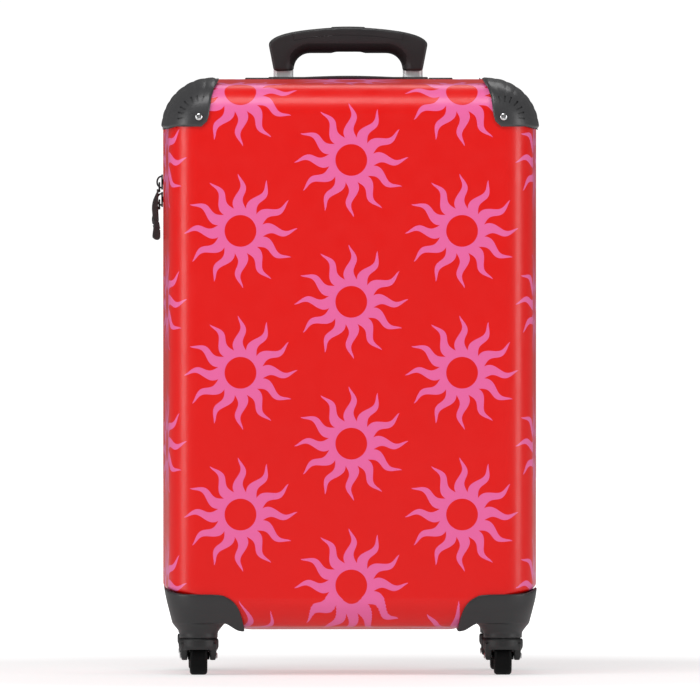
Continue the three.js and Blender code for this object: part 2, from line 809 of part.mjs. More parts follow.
function carryHandle() {
  const above = [];
  const below = [];
  for (let k = -8; k <= 8; k++) {
    const x = (k / 8) * carryHandleHalfLength;
    const half = (carryHandleThickness / 2) * (Math.abs(k) < 7 ? 1 : 0.6);
    above.push([x, carryLine(x) + half]);
    below.unshift([x, carryLine(x) - half]);
  }
  const half = carryHandleWidth / 2;
  return frontPrism(vectors([...above, ...below]), carryHandleDepth - half, carryHandleDepth + half);
}

function carryCap(strap) {
  const [length, width, height] = carryCapSize;
  const x = carryHandleHalfLength - 6;
  const plan = rounded([
    [-x - length, carryHandleDepth - width / 2, 6, 4],
    [-x, carryHandleDepth - width / 2, 2, 2],
    [-x, carryHandleDepth + width / 2, 2, 2],
    [-x - length, carryHandleDepth + width / 2, 6, 4],
  ]);
  const block = planPrism(plan, carryWall - 12, carryWall + height);
  const room = box(
    [-carryHandleHalfLength - GAP, carryHandleDepth - carryHandleWidth / 2 - GAP, carryWall - 12],
    [-x + 1, carryHandleDepth + carryHandleWidth / 2 + GAP, carryEnd + carryHandleThickness / 2 + GAP],
  );
  return cut(block, caseBody(1, GAP, rimSetback), room);
}

// ---------- packing straps ----------
function packingStrap() {
  const z = strapHeight;
  const front = liningRimSetback + 1;
  const wallX = halfWidth - liningInset - liningThickness - 3 * GAP;
  const [inner, half] = [buckleSize[0] / 2 - 8, strapWidth / 2];
  const band = box([-wallX, front, z - half], [-inner, front + strapThickness, z + half]);
  const anchor = box([-wallX, front, z - half], [-wallX + strapThickness, front + 22, z + half]);
  return union(band, anchor);
}

function strapBuckle() {
  const [length, thickness, height] = buckleSize;
  const middle = liningRimSetback + 1 + strapThickness / 2;
  const [l, h] = [length / 2, height / 2];
  const plate = frontPrism(
    rounded([
      [-l, strapHeight - h, 5, 3],
      [l, strapHeight - h, 5, 3],
      [l, strapHeight + h, 5, 3],
      [-l, strapHeight + h, 5, 3],
    ]),
    middle - thickness / 2,
    middle + thickness / 2,
  );
  const slots = [-1, 1].map((s) => {
    const [a, b] = s < 0 ? [-l - 1, -l + 8 + GAP] : [l - 8 - GAP, l + 1];
    const thick = strapThickness / 2 + GAP;
    const half = strapWidth / 2 + GAP;
    return box([a, middle - thick, strapHeight - half], [b, middle + thick, strapHeight + half]);
  });
  return cut(plate, ...slots);
}

// ---------- assembly ----------
const suitcase = new THREE.Group();

function add(name, made, look, parent = suitcase) {
  const mesh = new THREE.Mesh(made.isBufferGeometry ? made : geometryOf(made), look);
  mesh.name = name;
  parent.add(mesh);
  return mesh;
}

const guardGeometry = geometryOf(cornerGuard());
const screwGeometry = geometryOf(guardScrew());
const housingGeometry = geometryOf(wheelHousing());
const forkGeometry = geometryOf(casterFork());
const wheelGeometry = geometryOf(casterWheel());
const axleGeometry = geometryOf(casterAxle());
const kingpinGeometry = geometryOf(kingpin());

for (const [half, side] of [["front", -1], ["rear", 1]]) {
  const holes = [-1, 1].map((hand) => screwHole().scale([-hand, -side, 1]));
  let shell = cut(shellHalf(side), ...holes);
  if (side > 0) {
    shell = cut(shell, ...bothSides(tubeHole(grown(outerTubeSize, GAP), top - 30, top + 10)));
  }
  add(`${half}_shell`, shell, printedShell);
  add(`${half}_lining`, liningHalf(side, side < 0 ? halfDepth : rearFloorDepth + liningInset), liningFabric);
  add(`${half}_zip_tape`, zipTape(side), tapeFabric);
  add(`${half}_zip_coil`, zipCoil(side), darkPlastic);
  add(`${half}_hinge_tape`, hingeTape(side), tapeFabric);

  for (const [handName, hand] of [["left", -1], ["right", 1]]) {
    const corner = new THREE.Group();
    corner.scale.set(-hand, -side, 1);
    suitcase.add(corner);
    add(`${half}_guard_${handName}`, guardGeometry, blackPlastic, corner);
    add(`${half}_guard_screw_${handName}`, screwGeometry, steel, corner);
    add(`${half}_wheel_housing_${handName}`, housingGeometry, blackPlastic, corner);

    const caster = new THREE.Group();
    caster.position.set(hand * casterX, side * casterY, 0);
    suitcase.add(caster);
    add(`${half}_fork_${handName}`, forkGeometry, darkPlastic, caster);
    add(`${half}_kingpin_${handName}`, kingpinGeometry, steel, caster);
    const hub = new THREE.Group();
    hub.position.set(0, wheelTrail, wheelRadius);
    caster.add(hub);
    add(`${half}_wheel_${handName}`, wheelGeometry, tyreRubber, hub);
    add(`${half}_axle_${handName}`, axleGeometry, steel, hub);
  }
}

const upperSlider = new THREE.Group();
upperSlider.position.z = sliderHeight;
const lowerSlider = new THREE.Group();
lowerSlider.position.z = sliderHeight - sliderSpacing;
suitcase.add(upperSlider, lowerSlider);
add("zip_slider_upper", zipSlider(), blackMetal, upperSlider);
add("zip_slider_lower", zipSlider(), blackMetal, lowerSlider);
for (const [name, slider, lane] of [
  ["upper", upperSlider, [-10.5, -3.3]],
  ["lower", lowerSlider, [-2.9, 6.3]],
]) {
  const pull = new THREE.Group();
  pull.position.set(pullBarPlane, 0, -pullBarDrop);
  slider.add(pull);
  const tabBottom = upperSlider.position.z - slider.position.z - pullLength;
  add(`zip_pull_${name}`, zipPull(lane, -9, tabBottom), blackPlastic, pull);
}

for (const [name, x] of [["left", -tubeSpacing / 2], ["right", tubeSpacing / 2]]) {
  const tubes = new THREE.Group();
  tubes.position.set(x, tubeDepth, 0);
  suitcase.add(tubes);
  add(`outer_tube_${name}`, tube(outerTubeSize, tubeBottom, outerTubeTop), aluminium, tubes);
  add(`middle_tube_${name}`, tube(middleTubeSize, tubeBottom + 4, middleTubeTop), aluminium, tubes);
  add(`upper_tube_${name}`, tube(upperTubeSize, tubeBottom + 8, gripSocketTop), aluminium, tubes);
}
add("trolley_bezel", trolleyBezel(), blackPlastic);
add("trolley_foot", trolleyFoot(), darkPlastic);

const grip = gripSolid();
add("grip_body", gripBody(grip), blackPlastic);
add("grip_cover", gripCover(grip), blackPlastic);
add("grip_button", gripButton(), darkPlastic);
add("release_yoke", releaseYoke(), steel);

add("carry_handle", carryHandle(), blackPlastic);
const capGeometry = geometryOf(carryCap());
add("carry_handle_cap_left", capGeometry, blackPlastic);
add("carry_handle_cap_right", capGeometry, blackPlastic).scale.x = -1;

const strapGeometry = geometryOf(packingStrap());
add("packing_strap_left", strapGeometry, tapeFabric);
add("packing_strap_right", strapGeometry, tapeFabric).scale.x = -1;
add("strap_buckle", strapBuckle(), darkPlastic);

export default suitcase;
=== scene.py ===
"""A red hard shell cabin suitcase with a printed sun pattern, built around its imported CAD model."""

import json
import math
import random

import bmesh
import bpy
from mathutils import Matrix, Vector

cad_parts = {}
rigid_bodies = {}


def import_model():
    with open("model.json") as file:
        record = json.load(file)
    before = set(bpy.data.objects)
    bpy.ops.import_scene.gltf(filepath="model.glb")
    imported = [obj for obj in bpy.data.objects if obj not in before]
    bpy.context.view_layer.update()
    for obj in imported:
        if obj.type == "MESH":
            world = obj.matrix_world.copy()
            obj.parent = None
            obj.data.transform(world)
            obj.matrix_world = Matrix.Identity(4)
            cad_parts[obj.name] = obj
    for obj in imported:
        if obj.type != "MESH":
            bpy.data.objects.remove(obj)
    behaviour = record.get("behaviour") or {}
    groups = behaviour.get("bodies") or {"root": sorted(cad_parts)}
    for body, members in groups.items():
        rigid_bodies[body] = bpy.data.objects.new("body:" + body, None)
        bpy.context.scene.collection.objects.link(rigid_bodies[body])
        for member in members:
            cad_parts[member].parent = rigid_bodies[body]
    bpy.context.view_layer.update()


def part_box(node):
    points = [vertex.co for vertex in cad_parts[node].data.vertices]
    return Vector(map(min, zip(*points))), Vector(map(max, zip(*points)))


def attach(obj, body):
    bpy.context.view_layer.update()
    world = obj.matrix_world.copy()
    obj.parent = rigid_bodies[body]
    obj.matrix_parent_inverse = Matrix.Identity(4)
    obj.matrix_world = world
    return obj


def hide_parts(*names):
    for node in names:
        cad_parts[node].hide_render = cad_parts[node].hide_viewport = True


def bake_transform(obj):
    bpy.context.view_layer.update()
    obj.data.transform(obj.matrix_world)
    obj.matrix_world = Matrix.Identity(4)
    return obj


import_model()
scene = bpy.context.scene

# ---------- sizes, in metres ----------
MM = 0.001
shell_low, shell_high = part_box("front_shell")
HALF_WIDTH = shell_high.x
BOTTOM, TOP = shell_low.z, shell_high.z
MIDDLE = Vector((0, (TOP + BOTTOM) / 2))  # of the front view, as (x, z)
FACE = -shell_low.y  # zip plane to a half's flat face
RIM = -shell_high.y  # zip plane to a shell's rim
WALL = 2 * MM
STRAIGHT_RIM = 20 * MM
DRAFT = 0.062
EDGE_RADIUS = 28 * MM
TOP_CORNER = 46 * MM
CHAMFER_RUN, CHAMFER_RISE = 74 * MM, 40 * MM
CHAMFER_RADIUS, CHAMFER_SIDE_RADIUS = 30 * MM, 5 * MM
SMALLEST_CORNER = 4 * MM
HALVES = (("front", -1, "lid"), ("rear", 1, "rear_case"))
HANDS = (("left", -1), ("right", 1))


# ---------- mesh tools ----------
def new_object(name, verts, faces):
    mesh = bpy.data.meshes.new(name)
    mesh.from_pydata([tuple(v) for v in verts], [], faces)
    mesh.update()
    piece = bpy.data.objects.new(name, mesh)
    scene.collection.objects.link(piece)
    return piece


def edited(piece, step):
    """Changes a piece's mesh with a function of its bmesh."""
    work = bmesh.new()
    work.from_mesh(piece.data)
    step(work)
    work.to_mesh(piece.data)
    work.free()
    return piece


def face_out(piece):
    """Turns the faces of a closed mesh outwards."""
    return edited(piece, lambda work: bmesh.ops.recalc_face_normals(work, faces=work.faces))


def modifier(piece, kind, **values):
    made = piece.modifiers.new(kind.lower(), kind)
    for key, value in values.items():
        setattr(made, key, value)


def apply_modifiers(piece):
    graph = bpy.context.evaluated_depsgraph_get()
    graph.update()
    mesh = bpy.data.meshes.new_from_object(piece.evaluated_get(graph), depsgraph=graph)
    piece.modifiers.clear()
    piece.data = mesh
    return piece


def limit(value, low=0, high=1):
    return max(low, min(high, value))


def rounded(corners):
    """Points of a polygon with rounded corners. Each corner is (x, y, radius, segments)."""
    points = []
    for i, (x, y, radius, segments) in enumerate(corners):
        here = Vector((x, y))
        if not radius:
            points.append(here)
            continue
        back = (Vector(corners[i - 1][:2]) - here).normalized()
        on = (Vector(corners[(i + 1) % len(corners)][:2]) - here).normalized()
        half = math.acos(limit(back.dot(on), -1)) / 2
        centre = here + (back + on).normalized() * (radius / math.sin(half))
        start = here + back * (radius / math.tan(half)) - centre
        end = here + on * (radius / math.tan(half)) - centre
        sweep = math.atan2(start.x * end.y - start.y * end.x, start.dot(end))
        for k in range(segments + 1):
            turn = sweep * k / segments
            c, s = math.cos(turn), math.sin(turn)
            points.append(centre + Vector((c * start.x - s * start.y, s * start.x + c * start.y)))
    return points


def rounded_box(x, y, width, depth, radius, segments=6):
    w, d = width / 2, depth / 2
    corners = (x - w, y - d), (x + w, y - d), (x + w, y + d), (x - w, y + d)
    return rounded([(*corner, radius, segments) for corner in corners])


def mm_points(pairs):
    return [Vector((a * MM, b * MM)) for a, b in pairs]


def smooth_rows(rows, steps, closed=False):
    """Rows of numbers with more rows between them, on Catmull-Rom curves through the given ones."""
    out = []
    last = len(rows) - 1
    for k in range(len(rows) if closed else last):
        places = [(k + n) % len(rows) if closed else limit(k + n, 0, last) for n in (-1, 0, 1, 2)]
        for step in range(steps):
            t = step / steps
            out.append(tuple(
                0.5 * (2 * b + (c - a) * t + (2 * a - 5 * b + 4 * c - d) * t * t + (3 * b - a - 3 * c + d) * t**3)
                for a, b, c, d in zip(*(rows[place] for place in places))
            ))
    return out if closed else out + [tuple(rows[-1])]


def smooth_curve(pairs, steps=6):
    return [Vector(row) for row in smooth_rows(pairs, steps)]


def way_at(points, k):
    """The direction of an open line at one of its points."""
    return (points[min(len(points) - 1, k + 1)] - points[max(0, k - 1)]).normalized()


def skin_faces(rings, count, base=0, capped=True):
    """Faces over so many rings of count vertices, the first of them at base."""
    faces = []
    for start in range(base, base + (rings - 1) * count, count):
        for i in range(count):
            j = (i + 1) % count
            faces.append((start + i, start + j, start + count + j, start + count + i))
    if capped:
        faces.append(tuple(base + i for i in reversed(range(count))))
        faces.append(tuple(base + (rings - 1) * count + i for i in range(count)))
    return faces


def loft(name, rings):
    """A skin through rings with the same number of points; its ends are closed flat."""
    verts = [p for ring in rings for p in ring]
    return face_out(new_object(name, verts, skin_faces(len(rings), len(rings[0]))))


def prism(name, points, low, high, axis):
    """A polygon swept between two places on an axis. On x it is given as (y, z), on y as (x, z)."""
    place = {
        "x": lambda p, t: (t, p[0], p[1]),
        "y": lambda p, t: (p[0], t, p[1]),
        "z": lambda p, t: (p[0], p[1], t),
    }[axis]
    return loft(name, [[place(p, low) for p in points], [place(p, high) for p in points]])


def block(name, low, high):
    corners = [(low[0], low[1]), (high[0], low[1]), (high[0], high[1]), (low[0], high[1])]
    return prism(name, corners, low[2], high[2], "z")


def lathe(name, profile, sides=48, axis="z"):
    """A turned piece. profile is (radius, height) from one end on the axis to the other, or a closed loop."""
    closed = profile[0][0] > 0 or profile[-1][0] > 0
    verts, faces = [], []
    for k in range(sides):
        turn = 2 * math.pi * k / sides
        for r, h in profile:
            x, y, z = r * math.cos(turn), r * math.sin(turn), h
            verts.append({"z": (x, y, z), "x": (z, x, y), "y": (x, z, y)}[axis])
    n = len(profile)
    for k in range(sides):
        a, b = k * n, ((k + 1) % sides) * n
        for i in range(n if closed else n - 1):
            j = (i + 1) % n
            faces.append((a + i, a + j, b + j, b + i))
    piece = new_object(name, verts, faces)
    return face_out(edited(piece, lambda work: bmesh.ops.remove_doubles(work, verts=work.verts, dist=1e-7)))


def rod(radius, low, high, sides=24, axis="z"):
    return lathe("rod", [(0, low), (radius, low), (radius, high), (0, high)], sides, axis)


def shifted(piece, x, y, z):
    piece.data.transform(Matrix.Translation((x, y, z)))
    return piece


def boolean(piece, other, operation):
    """Cuts, joins or intersects piece with other, which is used up."""
    modifier(piece, "BOOLEAN", object=other, operation=operation, solver="MANIFOLD")
    apply_modifiers(piece)
    bpy.data.objects.remove(other)
    return piece


def cut(piece, *others):
    for other in others:
        boolean(piece, other, "DIFFERENCE")
    return piece


def join(piece, *others):
    for other in others:
        boolean(piece, other, "UNION")
    return piece


def keep(piece, other):
    return boolean(piece, other, "INTERSECT")


def soften(piece, voxel, smoothing, passes):
    """Rounds every edge of a moulded piece: a voxel skin, smoothed."""
    modifier(piece, "REMESH", mode="VOXEL", voxel_size=voxel)
    modifier(piece, "SMOOTH", factor=smoothing, iterations=passes)
    return apply_modifiers(piece)


def bevel(piece, width, segments, angle=30):
    limits = {"limit_method": "ANGLE", "angle_limit": math.radians(angle)}
    modifier(piece, "BEVEL", width=width, segments=segments, harden_normals=False, **limits)
    return apply_modifiers(piece)


def moved(piece, matrix=Matrix()):
    """A copy of a piece, moved by a matrix; a mirrored one has its faces turned back."""
    copy = piece.copy()
    copy.data = piece.data.copy()
    scene.collection.objects.link(copy)
    copy.data.transform(matrix)
    if matrix.determinant() < 0:
        copy.data.flip_normals()
    return copy


def shade(piece, angle):
    """Smooth faces, with a crease where they meet at more than this angle."""
    for polygon in piece.data.polygons:
        polygon.use_smooth = True
    piece.data.set_sharp_from_angle(angle=math.radians(angle))
    modifier(piece, "WEIGHTED_NORMAL", keep_sharp=True)
    return piece


def settle(piece, crease_angle, name, body, look, *stands_for):
    """Finishes a piece: shaded, named, dressed in a look and riding on its body."""
    material, slot = look
    shade(piece, crease_angle)
    piece.name = name
    piece.data.name = name
    piece.data.materials.clear()
    piece.data.materials.append(material)
    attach(piece, body)
    if stands_for:
        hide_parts(*stands_for)


# ---------- materials ----------
def dimmed(colour, share):
    return tuple(c * share for c in colour)


class Nodes:
    """The node tree of one material, with short calls for what is used over and over."""

    def __init__(self, name):
        self.material = bpy.data.materials.new(name)
        self.material.use_nodes = True
        self.tree = self.material.node_tree
        self.tree.nodes.clear()
        self.shader = self.add("BsdfPrincipled")
        output = self.add("OutputMaterial")
        self.link(self.shader.outputs["BSDF"], output.inputs["Surface"])
        self.place = self.add("TexCoord").outputs["Object"]

    def add(self, kind, inputs=(), **values):
        """A new node with its settings, and its inputs by name or by number."""
        node = self.tree.nodes.new("ShaderNode" + kind)
        for key, value in values.items():
            setattr(node, key, value)
        for key, value in dict(inputs).items():
            self.link(value, node.inputs[key])
        return node

    def link(self, source, target):
        if hasattr(source, "is_linked"):
            self.tree.links.new(source, target)
        else:
            target.default_value = source

    def math(self, operation, *values):
        return self.add("Math", enumerate(values), operation=operation).outputs[0]

    def times(self, a, b):
        return self.math("MULTIPLY", a, b)

    def plus(self, a, b):
        return self.math("ADD", a, b)

    def minus(self, a, b):
        return self.math("SUBTRACT", a, b)

    def scaled(self, scale):
        return self.add("VectorMath", {0: self.place, 1: scale}, operation="MULTIPLY").outputs[0]

    def noise(self, scale, detail=2, vector=None):
        inputs = {"Vector": vector or self.place, "Scale": scale, "Detail": detail, "Roughness": 0.5}
        return self.add("TexNoise", inputs).outputs["Fac"]

    def cells(self, scale):
        return self.add("TexVoronoi", {"Vector": self.place, "Scale": scale}).outputs["Distance"]

    def span(self, value, low, high, to_low=0.0, to_high=1.0):
        return self.add("MapRange", enumerate((value, low, high, to_low, to_high))).outputs[0]

    def mix(self, factor, *colours):
        first, second = (c if hasattr(c, "is_linked") else (*c, 1) for c in colours)
        return self.add("Mix", {"Factor": factor, 6: first, 7: second}, data_type="RGBA").outputs[2]

    def bump(self, height, distance, strength):
        return self.add("Bump", {"Strength": strength, "Distance": distance, "Height": height}).outputs[0]

    def worn(self):
        """Where edges stand proud, from the mesh itself."""
        return self.span(self.add("NewGeometry").outputs["Pointiness"], 0.52, 0.62)

    def split(self, vector):
        return self.add("SeparateXYZ", {0: vector}).outputs

    def set(self, **values):
        for key, value in values.items():
            self.link(value, self.shader.inputs[key.replace("_", " ").title().replace("Ior", "IOR")])


RED, PINK = (0.84, 0.003, 0.001), (0.9, 0.15, 0.4)
SUN_STEP, SUN_PITCH = 101.8 * MM, 130.3 * MM  # between columns, and between suns of one column
SUN_HEIGHT = 474 * MM  # of the highest sun in the middle column
SUN_DISC, SUN_RING, SUN_REACH = 14.6 * MM, 20.5 * MM, 52.5 * MM
SUN_RAYS = 12
RAY_HALF_WIDTH = 5.6 * MM
RAY_TAPER = 0.8  # power of the share of its length that is left
RAY_WAVE, RAY_WAVE_LENGTH = 2.5 * MM, 27 * MM  # how far a ray sways to each side, and over what length
PRINT_EDGE = 0.15 * MM  # over which the ink fades out


def sun_mask(n):
    """1 on the suns and 0 on the ground, from the print's own map of the shell."""
    across, up, _ = n.split(n.add("UVMap", uv_map="print").outputs["UV"])

    def lattice(x_shift, y_shift):
        x, y = n.minus(across, x_shift), n.minus(up, SUN_HEIGHT + y_shift)
        dx = n.math("WRAP", x, SUN_STEP, -SUN_STEP)
        dy = n.math("WRAP", y, SUN_PITCH / 2, -SUN_PITCH / 2)
        return dx, dy, n.math("SQRT", n.plus(n.times(dx, dx), n.times(dy, dy)))

    first, other = lattice(0, 0), lattice(SUN_STEP, SUN_PITCH / 2)
    second = n.math("LESS_THAN", other[2], first[2])
    dx, dy, r = (n.plus(a, n.times(second, n.minus(b, a))) for a, b in zip(first, other))
    angle = n.math("ARCTAN2", dy, dx)
    sway = n.math("SINE", n.times(n.minus(r, SUN_RING), 2 * math.pi / RAY_WAVE_LENGTH))
    turn = n.math("DIVIDE", n.times(sway, RAY_WAVE), n.math("MAXIMUM", r, SUN_DISC))
    sector = math.pi / SUN_RAYS
    off = n.math("WRAP", n.minus(angle, turn), sector, -sector)
    sideways = n.times(n.math("ABSOLUTE", off), r)
    left = n.math("MAXIMUM", n.span(r, SUN_RING, SUN_REACH, 1.0, 0.0), 0.0)
    width = n.times(n.math("POWER", left, RAY_TAPER), RAY_HALF_WIDTH)
    ray = n.span(n.minus(sideways, width), -PRINT_EDGE, PRINT_EDGE, 1.0, 0.0)
    ray = n.times(ray, n.span(r, SUN_REACH - PRINT_EDGE, SUN_REACH, 1.0, 0.0))
    ring = n.span(r, SUN_RING - PRINT_EDGE, SUN_RING + PRINT_EDGE, 1.0, 0.0)
    outside_disc = n.span(r, SUN_DISC - PRINT_EDGE, SUN_DISC + PRINT_EDGE)
    return n.times(n.math("MAXIMUM", ray, ring), outside_disc)


def printed_shell():
    n = Nodes("printed_polycarbonate")
    cloud = n.noise(9, 3)
    fleck = n.span(n.noise(1400), 0.35, 0.7)
    red, pink = n.mix(cloud, RED, dimmed(RED, 0.94)), n.mix(cloud, PINK, dimmed(PINK, 0.96))
    colour = n.mix(n.times(fleck, 0.05), n.mix(sun_mask(n), red, pink), dimmed(RED, 0.8))
    grain = n.plus(n.noise(900, 3), n.times(n.noise(120), 0.6))
    n.set(base_color=colour, roughness=n.span(n.noise(60, 4), 0.3, 0.7, 0.3, 0.4))
    n.set(ior=1.5, specular_ior_level=0.4, coat_weight=0.12, coat_roughness=0.14)
    n.set(normal=n.bump(grain, 0.05 * MM, 0.3))
    return n.material


def moulded_plastic(name, level, roughness, grain_scale=1300, grain_depth=0.06, wear=0.5):
    """Black moulded plastic with an eroded grain, a little rubbed along its edges."""
    n = Nodes(name)
    base = (level, level, level * 1.04)
    colour = n.mix(n.noise(25, 4), dimmed(base, 0.8), dimmed(base, 1.25))
    rubbed = n.times(n.worn(), n.times(n.noise(90, 4), wear))
    grain = n.plus(n.cells(grain_scale), n.times(n.noise(grain_scale / 3, 3), 0.7))
    n.set(base_color=n.mix(rubbed, colour, (level * 4, level * 4, level * 4)))
    n.set(roughness=n.span(n.noise(45, 5), 0.3, 0.7, roughness - 0.06, roughness + 0.08))
    n.set(ior=1.52, normal=n.bump(grain, grain_depth * MM, 0.5))
    return n.material


def metal(name, colour, roughness, brushed=False, metallic=1.0):
    """Bare metal, or a drawn one with streaks along z."""
    n = Nodes(name)
    streaks = n.noise(2600 if brushed else 500, 3, n.scaled((1, 1, 0.012) if brushed else (1, 1, 1)))
    smear = n.span(n.noise(30, 4), 0.3, 0.7, 0.0, 0.06)
    n.set(base_color=n.mix(n.span(streaks, 0.35, 0.7), colour, dimmed(colour, 0.86)), metallic=metallic)
    n.set(roughness=n.plus(n.span(streaks, 0.3, 0.7, roughness - 0.05, roughness + 0.07), smear))
    n.set(normal=n.bump(streaks, 0.02 * MM, 0.4))
    return n.material


def woven(name, light, trough_shade, pitch, bump_mm, twill=False, sheen=0.3):
    """Plain or twill weave from two crossed waves; the low points between the threads are painted darker, as painted
    shade.
    """
    n = Nodes(name)
    x, y, z = n.split(n.place)
    across = n.plus(x, y)
    k = 2 * math.pi / pitch
    warp = n.math("SINE", n.times(across, k))
    weft = n.math("SINE", n.plus(n.times(z, k), n.times(across, k / 2 if twill else 0.0)))
    height = n.plus(n.span(n.times(warp, weft), -1.0, 1.0), n.times(n.noise(2200, 3), 0.4))
    fade = n.span(n.noise(14, 3), 0.3, 0.7, 0.0, 0.35)
    # Painted shade: where the weave lies low, between the threads, it takes the darker colour; the faded patches are
    # random tone.
    colour = n.mix(fade, n.mix(n.span(height, 0.2, 1.2), trough_shade, light), dimmed(light, 0.7))
    n.set(base_color=colour, roughness=n.span(height, 0.0, 1.4, 0.95, 0.8))
    n.set(sheen_weight=sheen, normal=n.bump(height, bump_mm * MM, 0.7))
    return n.material


def tyre():
    n = Nodes("wheel_polyurethane")
    dust = n.span(n.noise(70, 5), 0.45, 0.75, 0.0, 0.25)
    colour = n.mix(dust, (0.0016, 0.0016, 0.0018), (0.005, 0.005, 0.005))
    n.set(base_color=colour, roughness=n.span(n.noise(200, 3), 0.3, 0.7, 0.45, 0.6))
    n.set(normal=n.bump(n.noise(900, 3), 0.05 * MM, 0.5), specular_ior_level=0.14)
    return n.material


# Looks: a material, and the name of a slot, which settle unpacks but does not use.
SHELL = printed_shell(), "printed_shell"
ABS = moulded_plastic("black_abs", 0.024, 0.4), "black_plastic"
GUARD = moulded_plastic("guard_plastic", 0.046, 0.33, 1100, 0.05, 0.8), "black_plastic"
NYLON = moulded_plastic("dark_nylon", 0.014, 0.5, 900, 0.05), "dark_plastic"
SOFT = moulded_plastic("soft_touch", 0.022, 0.44, 1900, 0.04, 0.3), "soft_plastic"
# A darker plastic for the faces under the grip, as painted shade.
GRIP_UNDERSIDE_SHADE = moulded_plastic("grip_underside_painted_shade", 0.003, 0.72, 2400, 0.03, 0.1)
ALUMINIUM = metal("anodised_aluminium", (0.93, 0.935, 0.94), 0.34, True, 0.15), "aluminium"
STEEL = metal("zinc_plate", (0.6, 0.6, 0.61), 0.3), "steel"
CHROME = metal("chrome", (0.86, 0.86, 0.87), 0.12), "chrome"
GUNMETAL = metal("gunmetal", (0.07, 0.07, 0.075), 0.3), "zip_metal"
# In each woven look the second colour is painted shade for the low points of the weave.
TAPE = woven("zip_tape", (0.03, 0.03, 0.031), (0.008, 0.008, 0.008), 0.9 * MM, 0.12, True), "zip_tape"
WEBBING = woven("webbing", (0.035, 0.035, 0.037), (0.008, 0.008, 0.009), 1.8 * MM, 0.25), "webbing"
LINING = woven("lining", (0.085, 0.085, 0.095), (0.035, 0.035, 0.04), 0.8 * MM, 0.08, True, 0.5), "lining"
TYRE = tyre(), "tyre"
COIL = moulded_plastic("coil_nylon", 0.012, 0.32, 700, 0.03, 0.3), "zip_coil"
THREAD = woven("thread", (0.05, 0.05, 0.052), (0.015, 0.015, 0.016), 0.4 * MM, 0.05), "webbing"


# ---------- the case's outline ----------
def outline(inset, detail=1.0):
    """The case seen from the front, moved in by inset; the bottom corners are cut over the wheels."""
    slant = math.hypot(CHAMFER_RUN, CHAMFER_RISE)
    foot = HALF_WIDTH - CHAMFER_RUN - inset * (CHAMFER_RISE - slant) / CHAMFER_RISE
    rise = BOTTOM + CHAMFER_RISE + inset * (CHAMFER_RUN - slant) / CHAMFER_RUN
    lower, side, upper = (
        max(radius - inset, SMALLEST_CORNER) for radius in (CHAMFER_RADIUS, CHAMFER_SIDE_RADIUS, TOP_CORNER)
    )
    few, many = round(6 * detail), round(16 * detail)
    right = [
        (foot, BOTTOM + inset, lower, few),
        (HALF_WIDTH - inset, rise, side, few),
        (HALF_WIDTH - inset, TOP - inset, upper, many),
    ]
    left = [(-x, *rest) for x, *rest in right]
    return rounded([left[0], *right, left[2], left[1]])


def lean(depth):
    return DRAFT * max(0, depth - STRAIGHT_RIM)


def wall_levels(grow, start, face=FACE, steps=14):
    """(depth, inset) down a half's wall and round its edge, to the flat face."""
    radius = EDGE_RADIUS + grow
    end = face - EDGE_RADIUS
    levels = [(start, lean(start) - grow)]
    if start < STRAIGHT_RIM:
        levels.append((STRAIGHT_RIM, -grow))
    for k in range(steps + 1):
        angle = math.pi / 2 * k / steps
        levels.append((end + radius * math.sin(angle), lean(end) - grow + radius * (1 - math.cos(angle))))
    return levels


def ring(side, depth, inset, detail=1.0):
    return [Vector((p.x, side * depth, p.y)) for p in outline(inset, detail)]


def body_solid(side, grow, start, face=FACE, detail=1, steps=14):
    """A half of the case as one full block, for cutting."""
    return loft("block", [ring(side, d, i, detail) for d, i in wall_levels(grow, start, face, steps)])


# ---------- shells ----------
def shell(side):
    """A vacuum-formed half: two skins joined round a rounded rim, with the print's map over the outer one."""
    outer = wall_levels(0, RIM + WALL / 2)
    inner = wall_levels(-WALL, RIM + WALL / 2)
    lip = [(RIM + WALL / 2 * (1 - math.sin(a)), WALL / 2 * (1 + math.cos(a))) for a in (0.7, 1.57, 2.4)]
    levels = inner[::-1] + lip + outer
    piece = loft("shell", [ring(side, d, i) for d, i in levels])
    flat = outline(outer[-1][1])
    out = [(b - a).normalized() for a, b in zip(flat, outline(0))]
    count, last = len(flat), len(levels) - 1
    run, places = 0.0, {}
    for k in range(last, -1, -1):
        if k < last:
            run += math.dist(levels[k], levels[k + 1])
        for i in range(count):
            places[k * count + i] = flat[i] + out[i] * run
    layer = piece.data.uv_layers.new(name="print")
    for loop in piece.data.loops:
        layer.data[loop.index].uv = places[loop.vertex_index]
    return piece


for half, side, body in HALVES:
    made = shell(side)
    for hand_name, _ in HANDS if side > 0 else ():
        low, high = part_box(f"outer_tube_{hand_name}")
        middle, size = (low + high) / 2, high - low
        hole = rounded_box(middle.x, middle.y, size.x + MM, size.y + MM, 6 * MM)
        cut(made, prism("hole", hole, TOP - 20 * MM, TOP + 20 * MM, "z"))
    settle(made, 35, f"{half}_shell_skin", body, SHELL, f"{half}_shell")

# ---------- corner guards ----------
GUARD_THICKNESS = 2.4 * MM
GUARD_GAP = 0.3 * MM
GUARD_BACK = FACE - 46 * MM  # depth of its back edge
GUARD_ROUND = 2.2 * MM  # radius of its rounded edge
GUARD_THIN = 0.45  # share of the thickness that is left at that edge
GUARD_OUTLINE = [  # its free edge
    Vector((-HALF_WIDTH + across * MM, TOP - down * MM)) for across, down in (
        (50.5, 0.6), (46, 8), (43.5, 16), (41.3, 33), (39.5, 38.5), (34.2, 43.3), (11.6, 43.3), (-4, 47.5),
    )
]
SCREW = Vector((-HALF_WIDTH + 32 * MM, TOP - 34.3 * MM))
SCREW_HEAD, SCREW_SEAT = 3.4 * MM, 4.6 * MM
SLOT_ANGLES = (185, 168, 152, 133, 112, 94, 76)
SLOT_START, SLOT_LENGTH, SLOT_WIDTH = 13.5 * MM, 6 * MM, 1.5 * MM
